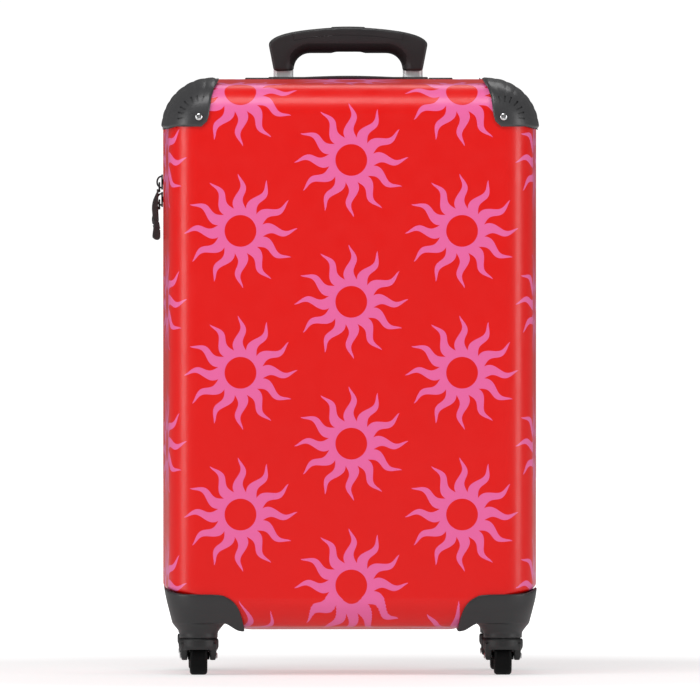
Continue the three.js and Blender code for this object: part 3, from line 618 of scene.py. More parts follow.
SLOT_FLOOR = 1.1 * MM  # left over the shell at the bottom of a slot
SCALLOP_END = 12  # degrees past the first and the last slot
SCALLOP_DEPTH = 0.55 * MM
SCALLOP_POWER = 0.6
GUARD_FLARE = 2.3 * MM  # extra height at its back edge, which stands proud of the case's side


def corner_curve(inset, straight=17 * MM, runs=26, arc=90):
    """The case's outline round its top left corner, from the side to the top, with its normals."""
    radius = TOP_CORNER - inset
    centre = Vector((-HALF_WIDTH + TOP_CORNER, TOP - TOP_CORNER))
    points = [(centre + Vector((-radius, -straight * (1 - k / runs))), Vector((-1, 0))) for k in range(runs)]
    for k in range(arc + 1):
        angle = math.pi / 2 * k / arc
        way = Vector((-math.cos(angle), math.sin(angle)))
        points.append((centre + radius * way, way))
    return points + [(centre + Vector((straight * k / runs, radius)), Vector((0, 1))) for k in range(1, runs + 1)]


def guard_levels():
    """(depth, inset, angle of the surface) from the guard's back edge to the flat face."""
    end = FACE - EDGE_RADIUS
    levels = [(d, lean(d), 0) for d in (GUARD_BACK + (end - GUARD_BACK) * k / 22 for k in range(22))]
    for k in range(61):
        a = math.pi / 2 * k / 60
        levels.append((end + EDGE_RADIUS * math.sin(a), lean(end) + EDGE_RADIUS * (1 - math.cos(a)), a))
    flat = lean(end) + EDGE_RADIUS
    return levels + [(FACE, flat + 0.7 * MM * k, math.pi / 2) for k in range(1, 12)]


def edge_distance(point):
    """How far a point of the front view lies from the guard's free edge."""
    best = 1.0
    for a, b in zip(GUARD_OUTLINE, GUARD_OUTLINE[1:]):
        along = (b - a).normalized()
        best = min(best, (point - (a + along * limit((point - a).dot(along), 0, (b - a).length))).length)
    return best


def guard_lift(point, depth):
    """Height of the guard over the shell: a rounded edge, and soft scallops between the slots."""
    edge = min(edge_distance(point), depth - GUARD_BACK)
    rise = limit(edge / GUARD_ROUND)
    lift = GUARD_THICKNESS * (GUARD_THIN + (1 - GUARD_THIN) * math.sqrt(1 - (1 - rise) ** 2))
    away = point - SCREW
    around = math.degrees(math.atan2(away.y, away.x)) % 360
    if SLOT_ANGLES[-1] - SCALLOP_END < around < SLOT_ANGLES[0] + SCALLOP_END:
        crown = 1
        for high, low in zip(SLOT_ANGLES, SLOT_ANGLES[1:]):
            if low <= around <= high:
                crown = math.sin(math.pi * (around - low) / (high - low)) ** SCALLOP_POWER
        for end, way in ((SLOT_ANGLES[0], 1), (SLOT_ANGLES[-1], -1)):
            if 0 <= (around - end) * way < SCALLOP_END:
                crown = math.sin(math.pi / 2 * (around - end) * way / SCALLOP_END) ** SCALLOP_POWER
        fade = limit((away.length - 17 * MM) / (9 * MM))
        lift += SCALLOP_DEPTH * fade * (crown - 1) * rise
    back = limit((GUARD_BACK + 30 * MM - depth) / (26 * MM))
    lift += GUARD_FLARE * back * back * (3 - 2 * back) * (0.5 + 0.5 * rise)
    return max(lift, 0.5 * MM)


def guard_skin():
    """The guard before its free edge is cut: a curved plate over the corner, closed round its border."""
    under, over = [], []
    for depth, inset, angle in guard_levels():
        curve = corner_curve(inset)
        for flat, way in curve:
            base = Vector((flat.x, -depth, flat.y))
            normal = Vector((way.x * math.cos(angle), -math.sin(angle), way.y * math.cos(angle)))
            under.append(base + normal * GUARD_GAP)
            over.append(base + normal * (GUARD_GAP + guard_lift(flat, depth)))
    columns, top = len(curve), len(under)
    faces = []
    for a in range(top - columns):
        if a % columns < columns - 1:
            d = a + columns
            faces += [(a, d, d + 1, a + 1), (top + a, top + a + 1, top + d + 1, top + d)]
    border = [*range(columns), *range(2 * columns - 1, top, columns)]
    border += [*range(top - 2, top - columns - 1, -1), *range(top - 2 * columns, 0, -columns)]
    for a, b in zip(border, border[1:] + border[:1]):
        faces.append((a, b, top + b, top + a))
    return face_out(new_object("guard", under + over, faces))


def corner_guard():
    left, above = -HALF_WIDTH - 20 * MM, TOP + 20 * MM
    far = [Vector((left, TOP - 60 * MM)), Vector((left, above)), Vector((-HALF_WIDTH + 52 * MM, above))]
    made = keep(guard_skin(), prism("keep", GUARD_OUTLINE + far, -FACE - 20 * MM, 0, "y"))
    under = body_solid(-1, SLOT_FLOOR, RIM, FACE + SLOT_FLOOR, 1, 24)
    for degrees in SLOT_ANGLES:
        angle = math.radians(degrees)
        slot = rounded_box(0, 0, SLOT_LENGTH, SLOT_WIDTH, SLOT_WIDTH / 2.01, 5)
        cutter = prism("slot", slot, -FACE - 8 * MM, -FACE + 20 * MM, "y")
        cutter.data.transform(Matrix.Rotation(-angle, 4, "Y"))
        middle = SCREW + Vector((math.cos(angle), math.sin(angle))) * (SLOT_START + SLOT_LENGTH / 2)
        cut(made, cut(shifted(cutter, middle.x, 0, middle.y), moved(under)))
    bpy.data.objects.remove(under)
    seat = rod(SCREW_SEAT, 0, 6 * MM, 40, "y")
    return cut(made, shifted(seat, SCREW.x, -FACE - GUARD_THICKNESS - 6 * MM, SCREW.y))


def pan_head():
    """A pan head screw with a cross recess, at the front left guard."""
    profile = [(0, 0), (SCREW_HEAD, 0), (SCREW_HEAD, 0.5 * MM)]
    for k in range(1, 9):
        angle = math.pi / 2 * k / 8
        profile.append((SCREW_HEAD * math.cos(angle) ** 0.7 if k < 8 else 0, (0.5 + 1.4 * math.sin(angle)) * MM))
    head = lathe("screw", profile, 40, "y")
    head.data.transform(Matrix.Rotation(math.pi, 4, "X"))
    for turn in (0.6, 0.6 + math.pi / 2):
        bar = block("bar", (-1.9 * MM, -4 * MM, -0.42 * MM), (1.9 * MM, -0.8 * MM, 0.42 * MM))
        bar.data.transform(Matrix.Rotation(turn, 4, "Y"))
        cut(head, bar)
    return bevel(shifted(head, SCREW.x, -FACE - GUARD_THICKNESS, SCREW.y), 0.12 * MM, 2)


def to_corner(side, hand):
    """Carries a piece made for the front left corner to another one."""
    return Matrix.Diagonal((-hand, -side, 1, 1))


guard, screw = corner_guard(), pan_head()
for half, side, body in HALVES:
    for hand_name, hand in HANDS:
        place = to_corner(side, hand)
        names = f"{half}_guard_{hand_name}_cap", f"{half}_screw_{hand_name}"
        settle(moved(guard, place), 40, names[0], body, GUARD, f"{half}_guard_{hand_name}")
        settle(moved(screw, place), 30, names[1], body, CHROME, f"{half}_guard_screw_{hand_name}")
bpy.data.objects.remove(guard)
bpy.data.objects.remove(screw)

# ---------- wheel housings and casters ----------
CASTER_X, CASTER_Y = HALF_WIDTH - 32 * MM, FACE - 33 * MM
NECK_BOTTOM = BOTTOM - 6 * MM
HOUSING_REACH = 70
HOUSING_GAP = 0.3 * MM
WHEEL_RADIUS = sum(corner.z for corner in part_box("front_wheel_left")) / 2
WHEEL_HALF = 8.1 * MM
TREAD_ROUND = 3 * MM
AXLE_HEAD = 16.5 * MM
TRAIL = 6.5 * MM


def at_axle(piece):
    return shifted(piece, 0, TRAIL, WHEEL_RADIUS)


def housing():
    """The front left wheel housing: a cup round the case's bottom corner, with a wing and a neck."""
    x0, y0, z0 = -HALF_WIDTH / MM, -FACE / MM, BOTTOM / MM
    sections = [(46, 0.1, -2.6, 31), (32, 1.8, -2.6, 31), (21, 4.4, -0.4, 29), (10, 7.2, 6, 26), (-3, 10.5, 12.5, 24)]
    rings = []
    for rise, u, d, radius in smooth_rows(sections, 5):
        x, y, far_x, far_y = x0 + u, y0 + d, x0 + 95, y0 + 95
        plan = rounded([(x, y, radius, 16), (far_x, y, 1, 1), (far_x, far_y, 1, 1), (x, far_y, 1, 1)])
        rings.append([Vector((p.x, p.y, z0 + rise)) * MM for p in plan])
    made = loft("housing", rings)
    top_edge = smooth_curve([
        (-1, 41.8), (7.4, 37), (20, 35.2), (48.8, 34.6), (57, 32.6), (63.5, 28.2), (68.2, 22), (71.3, 14),
        (73.4, 5.5), (74.4, 0.5),
    ])
    arch = smooth_curve([(72.2, 0.3), (67.5, 1.3), (62.6, 4.2), (58.5, 6.8), (55.3, 8)])
    front = [(x0 + a, z0 + b) for a, b in ((-8, 46), *top_edge, *arch, (-8, 7.6))]
    keep(made, prism("front", mm_points(front), -FACE - 10 * MM, 0, "y"))
    reach = HOUSING_REACH
    back = smooth_curve([(reach, -8), (reach, 6), (reach - 1, 18), (reach - 4, 30), (reach - 10, 39), (reach - 22, 48)])
    side = [(y0 + a, z0 + b) for a, b in ((-8, -8), *back, (-8, 48))]
    keep(made, prism("side", mm_points(side), -HALF_WIDTH - 10 * MM, 0, "x"))
    neck = [(0, 0), (17.7, 0), (17.7, 5), (18.4, 6.5), (24.4, 13.9), (24.4, 15), (0, 15)]
    join(made, shifted(lathe("neck", mm_points(neck), 64), -CASTER_X, -CASTER_Y, NECK_BOTTOM))
    soften(made, 0.9 * MM, 0.6, 8)
    cut(made, body_solid(-1, HOUSING_GAP, RIM, FACE + HOUSING_GAP))
    socket, seat = rod(16 * MM, -2 * MM, 6.3 * MM, 48), rod(4 * MM, 4 * MM, 9 * MM)
    return cut(made, *(shifted(hole, -CASTER_X, -CASTER_Y, NECK_BOTTOM) for hole in (socket, seat)))


def fork():
    """A caster's hood with two legs, about its own swivel axis."""
    low, high = NECK_BOTTOM - 12 * MM, NECK_BOTTOM - 0.3 * MM
    hood = lathe("hood", [
        (0, low + MM), (17.2 * MM, low + MM), (18.5 * MM, low + 4 * MM), (18.5 * MM, high - 1.2 * MM),
        (17.4 * MM, high), (0, high),
    ], 64)
    boss = rod(15.7 * MM, high - MM, NECK_BOTTOM + 6 * MM, 48)
    leg_top, leg_end = low + 7 * MM, 4 * MM
    foot = WHEEL_RADIUS - leg_end
    leg = rounded([
        (-14 * MM, leg_top, 0, 0), (TRAIL - leg_end - 3 * MM, foot, leg_end, 8),
        (TRAIL + leg_end + 3 * MM, foot, leg_end, 8), (17.5 * MM, leg_top, 0, 0),
    ])
    made = join(hood, prism("legs", leg, -16.4 * MM, 16.4 * MM, "x"))
    taper = [(-19, 34), (-18.7, 25), (-16.6, 18), (-15.2, 12.6), (15.2, 12.6), (16.6, 18), (18.7, 25), (19, 34)]
    keep(made, prism("taper", mm_points(taper), -30 * MM, 40 * MM, "y"))
    cut(made, block("slot", (-10.4 * MM, -30 * MM, 0), (10.4 * MM, 40 * MM, low + 1.5 * MM)))
    join(soften(made, 0.7 * MM, 0.6, 5), boss)
    half = WHEEL_HALF + MM
    pocket, hole = rod(WHEEL_RADIUS + 1.2 * MM, -half, half, 64, "x"), rod(1.9 * MM, -30 * MM, 30 * MM, 24, "x")
    back = block("back", (-half, 11.7 * MM, low - MM), (half, 40 * MM, NECK_BOTTOM))
    return cut(made, at_axle(pocket), back, at_axle(hole))


def mirrored(profile):
    """A turned profile closed by its own mirror image."""
    return profile + [(a, -b) for a, b in reversed(profile)]


def wheel():
    """A wheel: a rounded tread on a dished centre with five small windows."""
    r, half = WHEEL_RADIUS, WHEEL_HALF
    profile = [(1.9 * MM, -10 * MM), (3.6 * MM, -10 * MM), (3.6 * MM, -half + 2.4 * MM), (5 * MM, -half + 2.2 * MM)]
    profile += [(9.8 * MM, -half + 2.2 * MM), (10.6 * MM, -half + 0.9 * MM), (12.4 * MM, -half + 0.5 * MM)]
    for k in range(9):
        angle = math.pi / 2 * k / 8
        profile.append((r + TREAD_ROUND * (math.sin(angle) - 1), -half + TREAD_ROUND * (1 - math.cos(angle))))
    made = lathe("wheel", mirrored(profile + [(r, -0.8 * MM)]), 72, "x")
    for k in range(5):
        angle = 2 * math.pi * k / 5
        window = rod(1.25 * MM, -20 * MM, 20 * MM, 20, "x")
        cut(made, shifted(window, 0, 7 * MM * math.cos(angle), 7 * MM * math.sin(angle)))
    return at_axle(made)


def axle():
    pin = [(0, 0.9), (1.8, 0.9), (2.8, 0.3), (3, 0), (1.75, 0)]
    profile = [(r * MM, -AXLE_HEAD - rise * MM) for r, rise in pin]
    return at_axle(lathe("axle", mirrored(profile), 32, "x"))


cup = housing()
casters = {
    "fork": (fork(), NYLON, "caster"),
    "wheel": (wheel(), TYRE, "roller"),
    "axle": (axle(), STEEL, "caster"),
}
for half, side, body in HALVES:
    for hand_name, hand in HANDS:
        node, place = f"{half}_wheel_housing_{hand_name}", to_corner(side, hand)
        settle(moved(cup, place), 42, f"{half}_wheel_cup_{hand_name}", body, ABS, node)
        for part, (made, look, rides) in casters.items():
            node, place = f"{half}_{part}_{hand_name}", Matrix.Translation((hand * CASTER_X, side * CASTER_Y, 0))
            settle(moved(made, place), 40, f"{node}_made", f"{half}_{rides}_{hand_name}", look, node)
for spare in (cup, *(made for made, *_ in casters.values())):
    bpy.data.objects.remove(spare)

# ---------- telescopic handle ----------
TUBE_WALL, GAP = MM, 0.3 * MM
TUBE_CORNER = 4.5 * MM
TUBE_X, TUBE_Y = 60 * MM, 92 * MM
BEZEL_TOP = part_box("trolley_bezel")[1].z
GRIP_LOW, GRIP_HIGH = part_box("grip_body")[0].z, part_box("grip_cover")[1].z
GRIP_HALF_DEPTH = 13.5 * MM
GRIP_UNDER = GRIP_LOW + 16.5 * MM
GRIP_ARC = 260 * MM
COVER_HALF, COVER_THICK = 50 * MM, 7 * MM


def wider(size, by):
    return tuple(s + 2 * by for s in size)


UPPER_TUBE = (18.4 * MM, 12 * MM)
MIDDLE_TUBE = wider(UPPER_TUBE, GAP + TUBE_WALL)
OUTER_TUBE = wider(MIDDLE_TUBE, GAP + TUBE_WALL)


def tube_corner(width):
    return TUBE_CORNER + (width - UPPER_TUBE[0]) / 2


def tube(node):
    """A drawn aluminium tube with rounded corners and eased ends."""
    low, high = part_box(node)
    middle, size = (low + high) / 2, high - low
    corner = tube_corner(size.x)
    outside = rounded_box(middle.x, middle.y, size.x, size.y, corner, 8)
    inside = rounded_box(middle.x, middle.y, *wider(size[:2], -TUBE_WALL), corner - TUBE_WALL, 8)
    made = prism("tube", outside, low.z, high.z, "z")
    catch = shifted(rod(2.4 * MM, 0, 4 * MM, 24, "y"), middle.x, high.y - 2 * MM, low.z + 14 * MM)
    cut(made, prism("bore", inside, low.z - MM, high.z + MM, "z"), catch)
    return bevel(made, 0.25 * MM, 2, 50)


def tube_cutter(hand, size, gap, low, high):
    width, depth = wider(size, gap)
    plan = rounded_box(hand * TUBE_X, TUBE_Y, width, depth, tube_corner(width), 8)
    return prism("hole", plan, low, high, "z")


for stage, body in (("outer", "rear_case"), ("middle", "handle_middle"), ("upper", "handle_upper")):
    for hand_name, _ in HANDS:
        node = f"{stage}_tube_{hand_name}"
        settle(tube(node), 30, f"{node}_made", body, ALUMINIUM, node)


def bezel():
    low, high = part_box("trolley_bezel")
    plan = rounded_box(0, TUBE_Y, high.x - low.x, high.y - low.y, 7 * MM, 10)
    made = bevel(prism("bezel", plan, TOP - 20 * MM, BEZEL_TOP, "z"), 1.1 * MM, 4, 60)
    cut(made, body_solid(1, GAP, RIM))
    for hand in (-1, 1):
        cut(made, tube_cutter(hand, OUTER_TUBE, GAP, TOP - 30 * MM, BEZEL_TOP - 3 * MM))
        cut(made, tube_cutter(hand, MIDDLE_TUBE, GAP, TOP - 30 * MM, BEZEL_TOP + MM))
    outer = rounded_box(0, TUBE_Y, 80 * MM, 16 * MM, 5 * MM, 8)
    inner = rounded_box(0, TUBE_Y, 78.4 * MM, 14.4 * MM, 4.2 * MM, 8)
    groove = prism("groove", outer, BEZEL_TOP - 0.5 * MM, BEZEL_TOP + MM, "z")
    return cut(made, cut(groove, prism("inner", inner, BEZEL_TOP - 2 * MM, BEZEL_TOP + 2 * MM, "z")))


def foot():
    low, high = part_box("trolley_foot")
    plan = rounded_box(0, TUBE_Y, high.x - low.x, high.y - low.y, 3 * MM)
    made = bevel(prism("foot", plan, low.z, high.z, "z"), 0.8 * MM, 3, 60)
    for hand in (-1, 1):
        cut(made, tube_cutter(hand, OUTER_TUBE, GAP, low.z + 4.7 * MM, high.z + MM))
    for x in (-30 * MM, 0, 30 * MM):
        pocket = rounded_box(x, TUBE_Y, 24 * MM, 14 * MM, 2 * MM, 4)
        cut(made, prism("pocket", pocket, low.z + 3 * MM, high.z + MM, "z"))
    return made


settle(bezel(), 35, "handle_bezel", "rear_case", SOFT, "trolley_bezel")
settle(foot(), 35, "handle_foot", "rear_case", NYLON, "trolley_foot")

GRIP_TOP_LINE = [  # out from the middle and down from the crown
    (0, 0), (16, 0.3), (27.7, 1.2), (38.3, 2.3), (48.8, 3.8), (57.3, 5.6), (64.7, 8), (70.2, 11), (73.9, 14.8),
]
LEG_OUT, LEG_IN = TUBE_X + UPPER_TUBE[0] / 2 - 0.3 * MM, TUBE_X - UPPER_TUBE[0] / 2 - 0.4 * MM
NEAR = 0.1 * MM  # two places count as one within this
SEAM_FIT, SEAM_DEPTH = 0.03 * MM, 1.6 * MM  # between the cover and the grip, and the groove along it
GRIP_COVE = 11.5 * MM  # how far its front and back turn under to the fingers' side


def turn_under(work):
    """Coves the edges of the grip's front and back on the fingers' side."""
    inner = []
    for edge in work.edges:
        a, b = (v.co for v in edge.verts)
        on_face = abs(a.y - b.y) < 1e-6
        inside = max(a.z, b.z) < GRIP_UNDER + NEAR and max(abs(a.x), abs(b.x)) < LEG_IN + NEAR
        if on_face and inside and max(a.z, b.z) >= GRIP_LOW + NEAR:
            inner.append(edge)
    bmesh.ops.bevel(work, geom=inner, offset=GRIP_COVE, segments=5, profile=0.5, affect="EDGES")


def grip_block():
    """The whole grip: an arched crossbar that flares down into a leg over each tube."""
    top = [(x * MM, GRIP_HIGH - down * MM, 0, 0) for x, down in smooth_curve(GRIP_TOP_LINE, 4)]
    top[-1] = (*top[-1][:2], 2 * MM, 4)
    half = top + [(LEG_OUT, GRIP_LOW, 0, 0), (LEG_IN, GRIP_LOW, 0, 0), (LEG_IN, GRIP_UNDER, 15 * MM, 14)]
    points = rounded(half + [(-x, *rest) for x, *rest in reversed(half[1:])])
    made = prism("grip", points, TUBE_Y - GRIP_HALF_DEPTH, TUBE_Y + GRIP_HALF_DEPTH, "y")
    return soften(face_out(edited(made, turn_under)), 0.9 * MM, 0.65, 16)


def cover_region(grow, low=-2 * GRIP_HALF_DEPTH, high=2 * GRIP_HALF_DEPTH):
    """The room that the grip's cover takes up, between two depths."""
    half, top = COVER_HALF + grow, GRIP_HIGH + 9 * MM
    across = [half * k / 12 for k in range(-12, 13)]
    under = [(x, GRIP_HIGH - GRIP_ARC + math.sqrt(GRIP_ARC**2 - x * x) - COVER_THICK - grow) for x in across]
    return prism("cover", under + [(half + 4 * MM, top), (-half - 4 * MM, top)], TUBE_Y + low, TUBE_Y + high, "y")


def button_prism(grow, low, high):
    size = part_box("grip_button")[1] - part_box("grip_button")[0]
    width, depth = wider(size[:2], grow)
    return prism("plan", rounded_box(0, TUBE_Y, width, depth, depth / 2 - 0.5 * MM, 10), low, high, "z")


def push_button():
    """A domed button with five grip grooves."""
    low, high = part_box("grip_button")
    dome = [(high.x * k / 10, high.z - 0.4 * MM * (k / 10) ** 2) for k in range(-10, 11)]
    made = prism("button", dome + [(high.x, low.z), (low.x, low.z)], TUBE_Y - 20 * MM, TUBE_Y + 20 * MM, "y")
    bevel(keep(made, button_prism(0, low.z, high.z + MM)), 0.5 * MM, 3, 50)
    for k in range(-2, 3):
        x, reach = k * 3 * MM, 3.5 * MM
        start = (x - 0.4 * MM, TUBE_Y - reach, high.z - 0.5 * MM)
        cut(made, block("groove", start, (x + 0.4 * MM, TUBE_Y + reach, high.z + MM)))
    return made


def grip_pieces():
    """The grip's cover and the body under it, with room for the button, the yoke and the tubes."""
    whole, above = grip_block(), GRIP_HIGH + 9 * MM
    cover = keep(moved(whole), cover_region(0))
    cut(cover, button_prism(GAP, GRIP_HIGH - 30 * MM, above))
    body = cut(whole, cover_region(SEAM_FIT))
    edge = GRIP_HALF_DEPTH - SEAM_DEPTH
    for low, high in ((-2 * GRIP_HALF_DEPTH, -edge), (edge, 2 * GRIP_HALF_DEPTH)):
        cut(body, cover_region(GAP, low, high))
    cut(body, button_prism(GAP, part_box("grip_button")[0].z - 12 * MM, above))
    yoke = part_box("release_yoke")[1]
    reach, front, back = yoke.x + 2.5 * MM, TUBE_Y - 3 * MM, TUBE_Y + 3 * MM
    cut(body, block("channel", (-reach, front, yoke.z - 7.5 * MM), (reach, back, yoke.z + MM)))
    for hand in (-1, 1):
        cut(body, tube_cutter(hand, UPPER_TUBE, GAP, GRIP_LOW - 5 * MM, GRIP_UNDER + 3.3 * MM))
        x = hand * TUBE_X
        cut(body, block("shaft", (x - 4 * MM, front, GRIP_UNDER - 2 * MM), (x + 4 * MM, back, yoke.z)))
    return cover, body


grip_cover, grip_lower = grip_pieces()
settle(grip_lower, 40, "grip_lower", "handle_upper", SOFT, "grip_body")
grip_lower.data.materials.append(GRIP_UNDERSIDE_SHADE)  # painted shade on the fingers' side
# Painted shade: faces that look down between the legs take the darker plastic.
for polygon in grip_lower.data.polygons:
    spot = polygon.center
    if polygon.normal.z < -0.2 and abs(spot.x) < TUBE_X - 6 * MM and spot.z > GRIP_LOW + MM:
        polygon.material_index = 1
settle(grip_cover, 40, "grip_upper_cover", "handle_upper", ABS, "grip_cover")
settle(push_button(), 40, "grip_push_button", "handle_release", NYLON, "grip_button")

# ---------- carry handle ----------
CARRY_Y = 45 * MM
CARRY_HALF = 80 * MM
CARRY_WALL = TOP - lean(CARRY_Y)
CARRY_END = CARRY_WALL + 1.1 * MM
CARRY_CROWN = TOP + 1.7 * MM


def carry_strap():
    """A moulded band, thin at its ends, with a raised rib along each edge."""
    rings = []
    for k in range(-40, 41):
        x = CARRY_HALF * k / 40
        line = CARRY_END + (CARRY_CROWN - CARRY_END) * math.cos(x / CARRY_HALF * math.pi / 2) ** 2
        full = limit((CARRY_HALF - abs(x)) / (24 * MM), 0.5)
        dip = 0.5 * MM * max(0, 1 - (abs(x) / (62 * MM)) ** 8)
        section = rounded_box(0, 0, 22 * MM, 3 * MM * full, 1.1 * MM * full, 4)
        rings.append([
            Vector((x, CARRY_Y + p.x, line + p.y - (dip if p.y > 0 and abs(p.x) < 8.5 * MM else 0))) for p in section
        ])
    return loft("strap", rings)


def carry_cap():
    """The left end cap, with a tunnel for the band and two screw dimples."""
    low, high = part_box("carry_handle_cap_left")
    large, small = (6 * MM, 8), (2 * MM, 4)
    plan = rounded([
        (low.x, low.y, *large), (high.x, low.y, *small), (high.x, high.y, *small), (low.x, high.y, *large),
    ])
    base, top, reach = CARRY_WALL - 12 * MM, CARRY_WALL + 2.9 * MM, 11.3 * MM
    made = bevel(prism("cap", plan, base, top, "z"), 1.2 * MM, 4, 60)
    far = (high.x + MM, CARRY_Y + reach, CARRY_END + MM)
    cut(made, body_solid(1, GAP, RIM), block("room", (-CARRY_HALF - GAP, CARRY_Y - reach, base), far))
    for y in (-8 * MM, 8 * MM):
        cut(made, shifted(rod(1.9 * MM, 0, 4 * MM), low.x + 7.5 * MM, CARRY_Y + y, top - 0.5 * MM))
    return made


settle(carry_strap(), 40, "carry_handle_band", "rear_case", SOFT, "carry_handle")
cap = carry_cap()
other_cap = moved(cap, Matrix.Diagonal((-1, 1, 1, 1)))
settle(other_cap, 40, "carry_cap_right", "rear_case", ABS, "carry_handle_cap_right")
settle(cap, 40, "carry_cap_left", "rear_case", ABS, "carry_handle_cap_left")

# ---------- zip ----------
HINGE_LOW, HINGE_HIGH = 112 * MM, 502 * MM  # the zip stops here, on the hinge side
TOOTH_PITCH = 2.1 * MM
TAPE_IN = (2.3 * MM, 3.1 * MM)
TAPE_DEPTH = (0.7 * MM, 18.6 * MM)
TAPE_RIPPLE = 0.03 * MM


def open_outline(inset, detail=2):
    """The case's outline from the hinge's top, round the top, left and bottom, to the hinge's foot."""
    points = outline(inset, detail)
    x = HALF_WIDTH - inset
    first = next(k for k, p in enumerate(points) if p.y > HINGE_HIGH - 20 * MM)
    return [Vector((x, HINGE_HIGH)), *points[first:], *points[:first], Vector((x, HINGE_LOW))]


def walk(points, step):
    """Places every step along a line, as (point, direction)."""
    out, run, goal = [], 0, step / 2
    for a, b in zip(points, points[1:]):
        length = (b - a).length
        while length and goal <= run + length:
            out.append((a + (b - a) * ((goal - run) / length), (b - a).normalized()))
            goal += step
        run += length
    return out


def length_of(points):
    return sum((b - a).length for a, b in zip(points, points[1:]))


def outward(point, way):
    """The direction across a line round the case that leads away from its middle."""
    out = Vector((way.y, -way.x))
    return -out if out.dot(point - MIDDLE) < 0 else out


def tape_band(points, side, across=16):
    """A half of the zip's tape: a flat strip standing on a line round the case, a little rippled."""
    near, far = TAPE_DEPTH
    rings = []
    for k, p in enumerate(points):
        out = outward(p, way_at(points, k))
        section = []
        for height, order in ((-TAPE_IN[0], range(across + 1)), (-TAPE_IN[1], range(across, -1, -1))):
            for n in order:
                h = height + TAPE_RIPPLE * math.sin(n * 2.1 + k * 0.9)
                section.append(Vector((p.x + out.x * h, side * (near + (far - near) * n / across), p.y + out.y * h)))
        rings.append(section)
    return loft("tape", rings)


def repeated(name, points, pitch, rings, shift=0):
    """One small closed piece set down at every step of a line. Its rings are (along, depth, away)."""
    verts, faces = [], []
    for point, way in walk(points, pitch):
        out = outward(point, way)
        faces += skin_faces(len(rings), len(rings[0]), len(verts))
        for along, depth, away in (place for one in rings for place in one):
            spot = point + way * (shift + along) + out * away
            verts.append((spot.x, depth, spot.y))
    return face_out(new_object(name, verts, faces))


def coil(side):
    """The zip's teeth: turns of a coil, each a bent bar from the tape to the middle."""
    rings = []
    for k in range(9):
        t = k / 8
        y = (0.35 + 2.7 * t) * MM
        height = -0.2 * MM - 1.6 * MM * t**3 - 0.5 * MM * (1 - t) ** 4
        radius, wide = (0.62 * MM, 1.15) if k < 2 else (0.52 * MM, 1)
        turns = [2 * math.pi * n / 7 for n in range(7)]
        rings.append([
            (radius * wide * math.cos(a), side * y, height + radius * 0.8 * (math.sin(a) - 1)) for a in turns
        ])
    return repeated("coil", open_outline(0), TOOTH_PITCH, rings, TOOTH_PITCH / 4 * side)


def stitches(points, side):
    """A row of thread stitches lying along a line round the case."""
    out, depth, length, radius = -TAPE_IN[0] + 0.12 * MM, 4.9 * MM, 2.5 * MM, 0.22 * MM
    turns = [2 * math.pi * n / 6 for n in range(6)]
    rings = []
    for t, size in ((-0.5, 0.2), (-0.3, 1), (0.3, 1), (0.5, 0.2)):
        thick = radius * size
        rings.append([
            (t * length, side * (depth + thick * math.cos(a)), out + thick * math.sin(a)) for a in turns
        ])
    return repeated("stitches", points, 3.2 * MM, rings)


for half, side, body in HALVES:
    line = open_outline(0)
    tape = tape_band(line, side)
    settle(tape, 60, f"{half}_zip_fabric", body, TAPE, f"{half}_zip_tape")
    settle(coil(side), 60, f"{half}_zip_teeth", body, COIL, f"{half}_zip_coil")
    settle(stitches(line, side), 60, f"{half}_zip_stitches", body, THREAD)

SLIDER_FACE = -(HALF_WIDTH + GAP)
CROWN_PLANE = SLIDER_FACE - 1.6 * MM
PULL_PLANE = CROWN_PLANE - 1.7 * MM
PULL_INNER = [(0, 1.7), (1.9, 1.6), (5.6, 1.8), (15.5, 2.1), (22, 1.7), (26.7, 1.4), (31, 0.7), (34, 0.2), (41, 0)]
PULL_OUTER = [
    (0, 3), (1.9, 3.3), (5.6, 5.2), (10, 7), (15.5, 7.9), (20.7, 7.6), (26.3, 6.8), (31, 6.3), (35.7, 6.9), (40.6, 7.5),
]
PULL_RADIUS = 0.9 * MM  # of the wire that it hangs by
GROOVE_SLOPE = 0.55


def crown_prism(width, reach, half):
    arc = [math.pi * k / 20 for k in range(21)]
    arch = [(CROWN_PLANE + (0.2 - reach * math.sin(a)) * MM, width * MM * math.cos(a)) for a in arc]
    return prism("crown", arch, -half * MM, half * MM, "y")


def slider(node):
    """A cast slider: a shield over the teeth, a neck between them, a plate behind and a crown."""
    half, wide = 7 * MM, 5 * MM
    right = [
        (3.9 * MM, -half, 1.4 * MM, 4), (wide, -MM, 3 * MM, 4),
        (wide, 4.6 * MM, 2 * MM, 4), (2.2 * MM, half, 1.2 * MM, 4),
    ]
    left = [(-y, *rest) for y, *rest in reversed(right)]
    shield = rounded([left[-1], *right, *left[:-1]])
    made = bevel(prism("slider", shield, CROWN_PLANE, SLIDER_FACE, "x"), 0.45 * MM, 3, 60)
    inner = -(HALF_WIDTH - WALL - 2 * GAP - 0.8 * MM)
    start = (SLIDER_FACE - 0.5 * MM, -0.4 * MM, -2.5 * MM)
    neck = block("neck", start, (inner + 0.5 * MM, 0.4 * MM, 2.5 * MM))
    under = prism("under", [(p.x * 0.88, p.y) for p in shield], inner, inner + 1.4 * MM, "x")
    crown = cut(crown_prism(6, 4.8, 1), crown_prism(4.4, 3.2, 2))
    join(made, neck, bevel(under, 0.35 * MM, 2, 60), bevel(crown, 0.35 * MM, 2, 50))
    return shifted(made, 0, 0, (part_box(node)[0].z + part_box(node)[1].z) / 2)


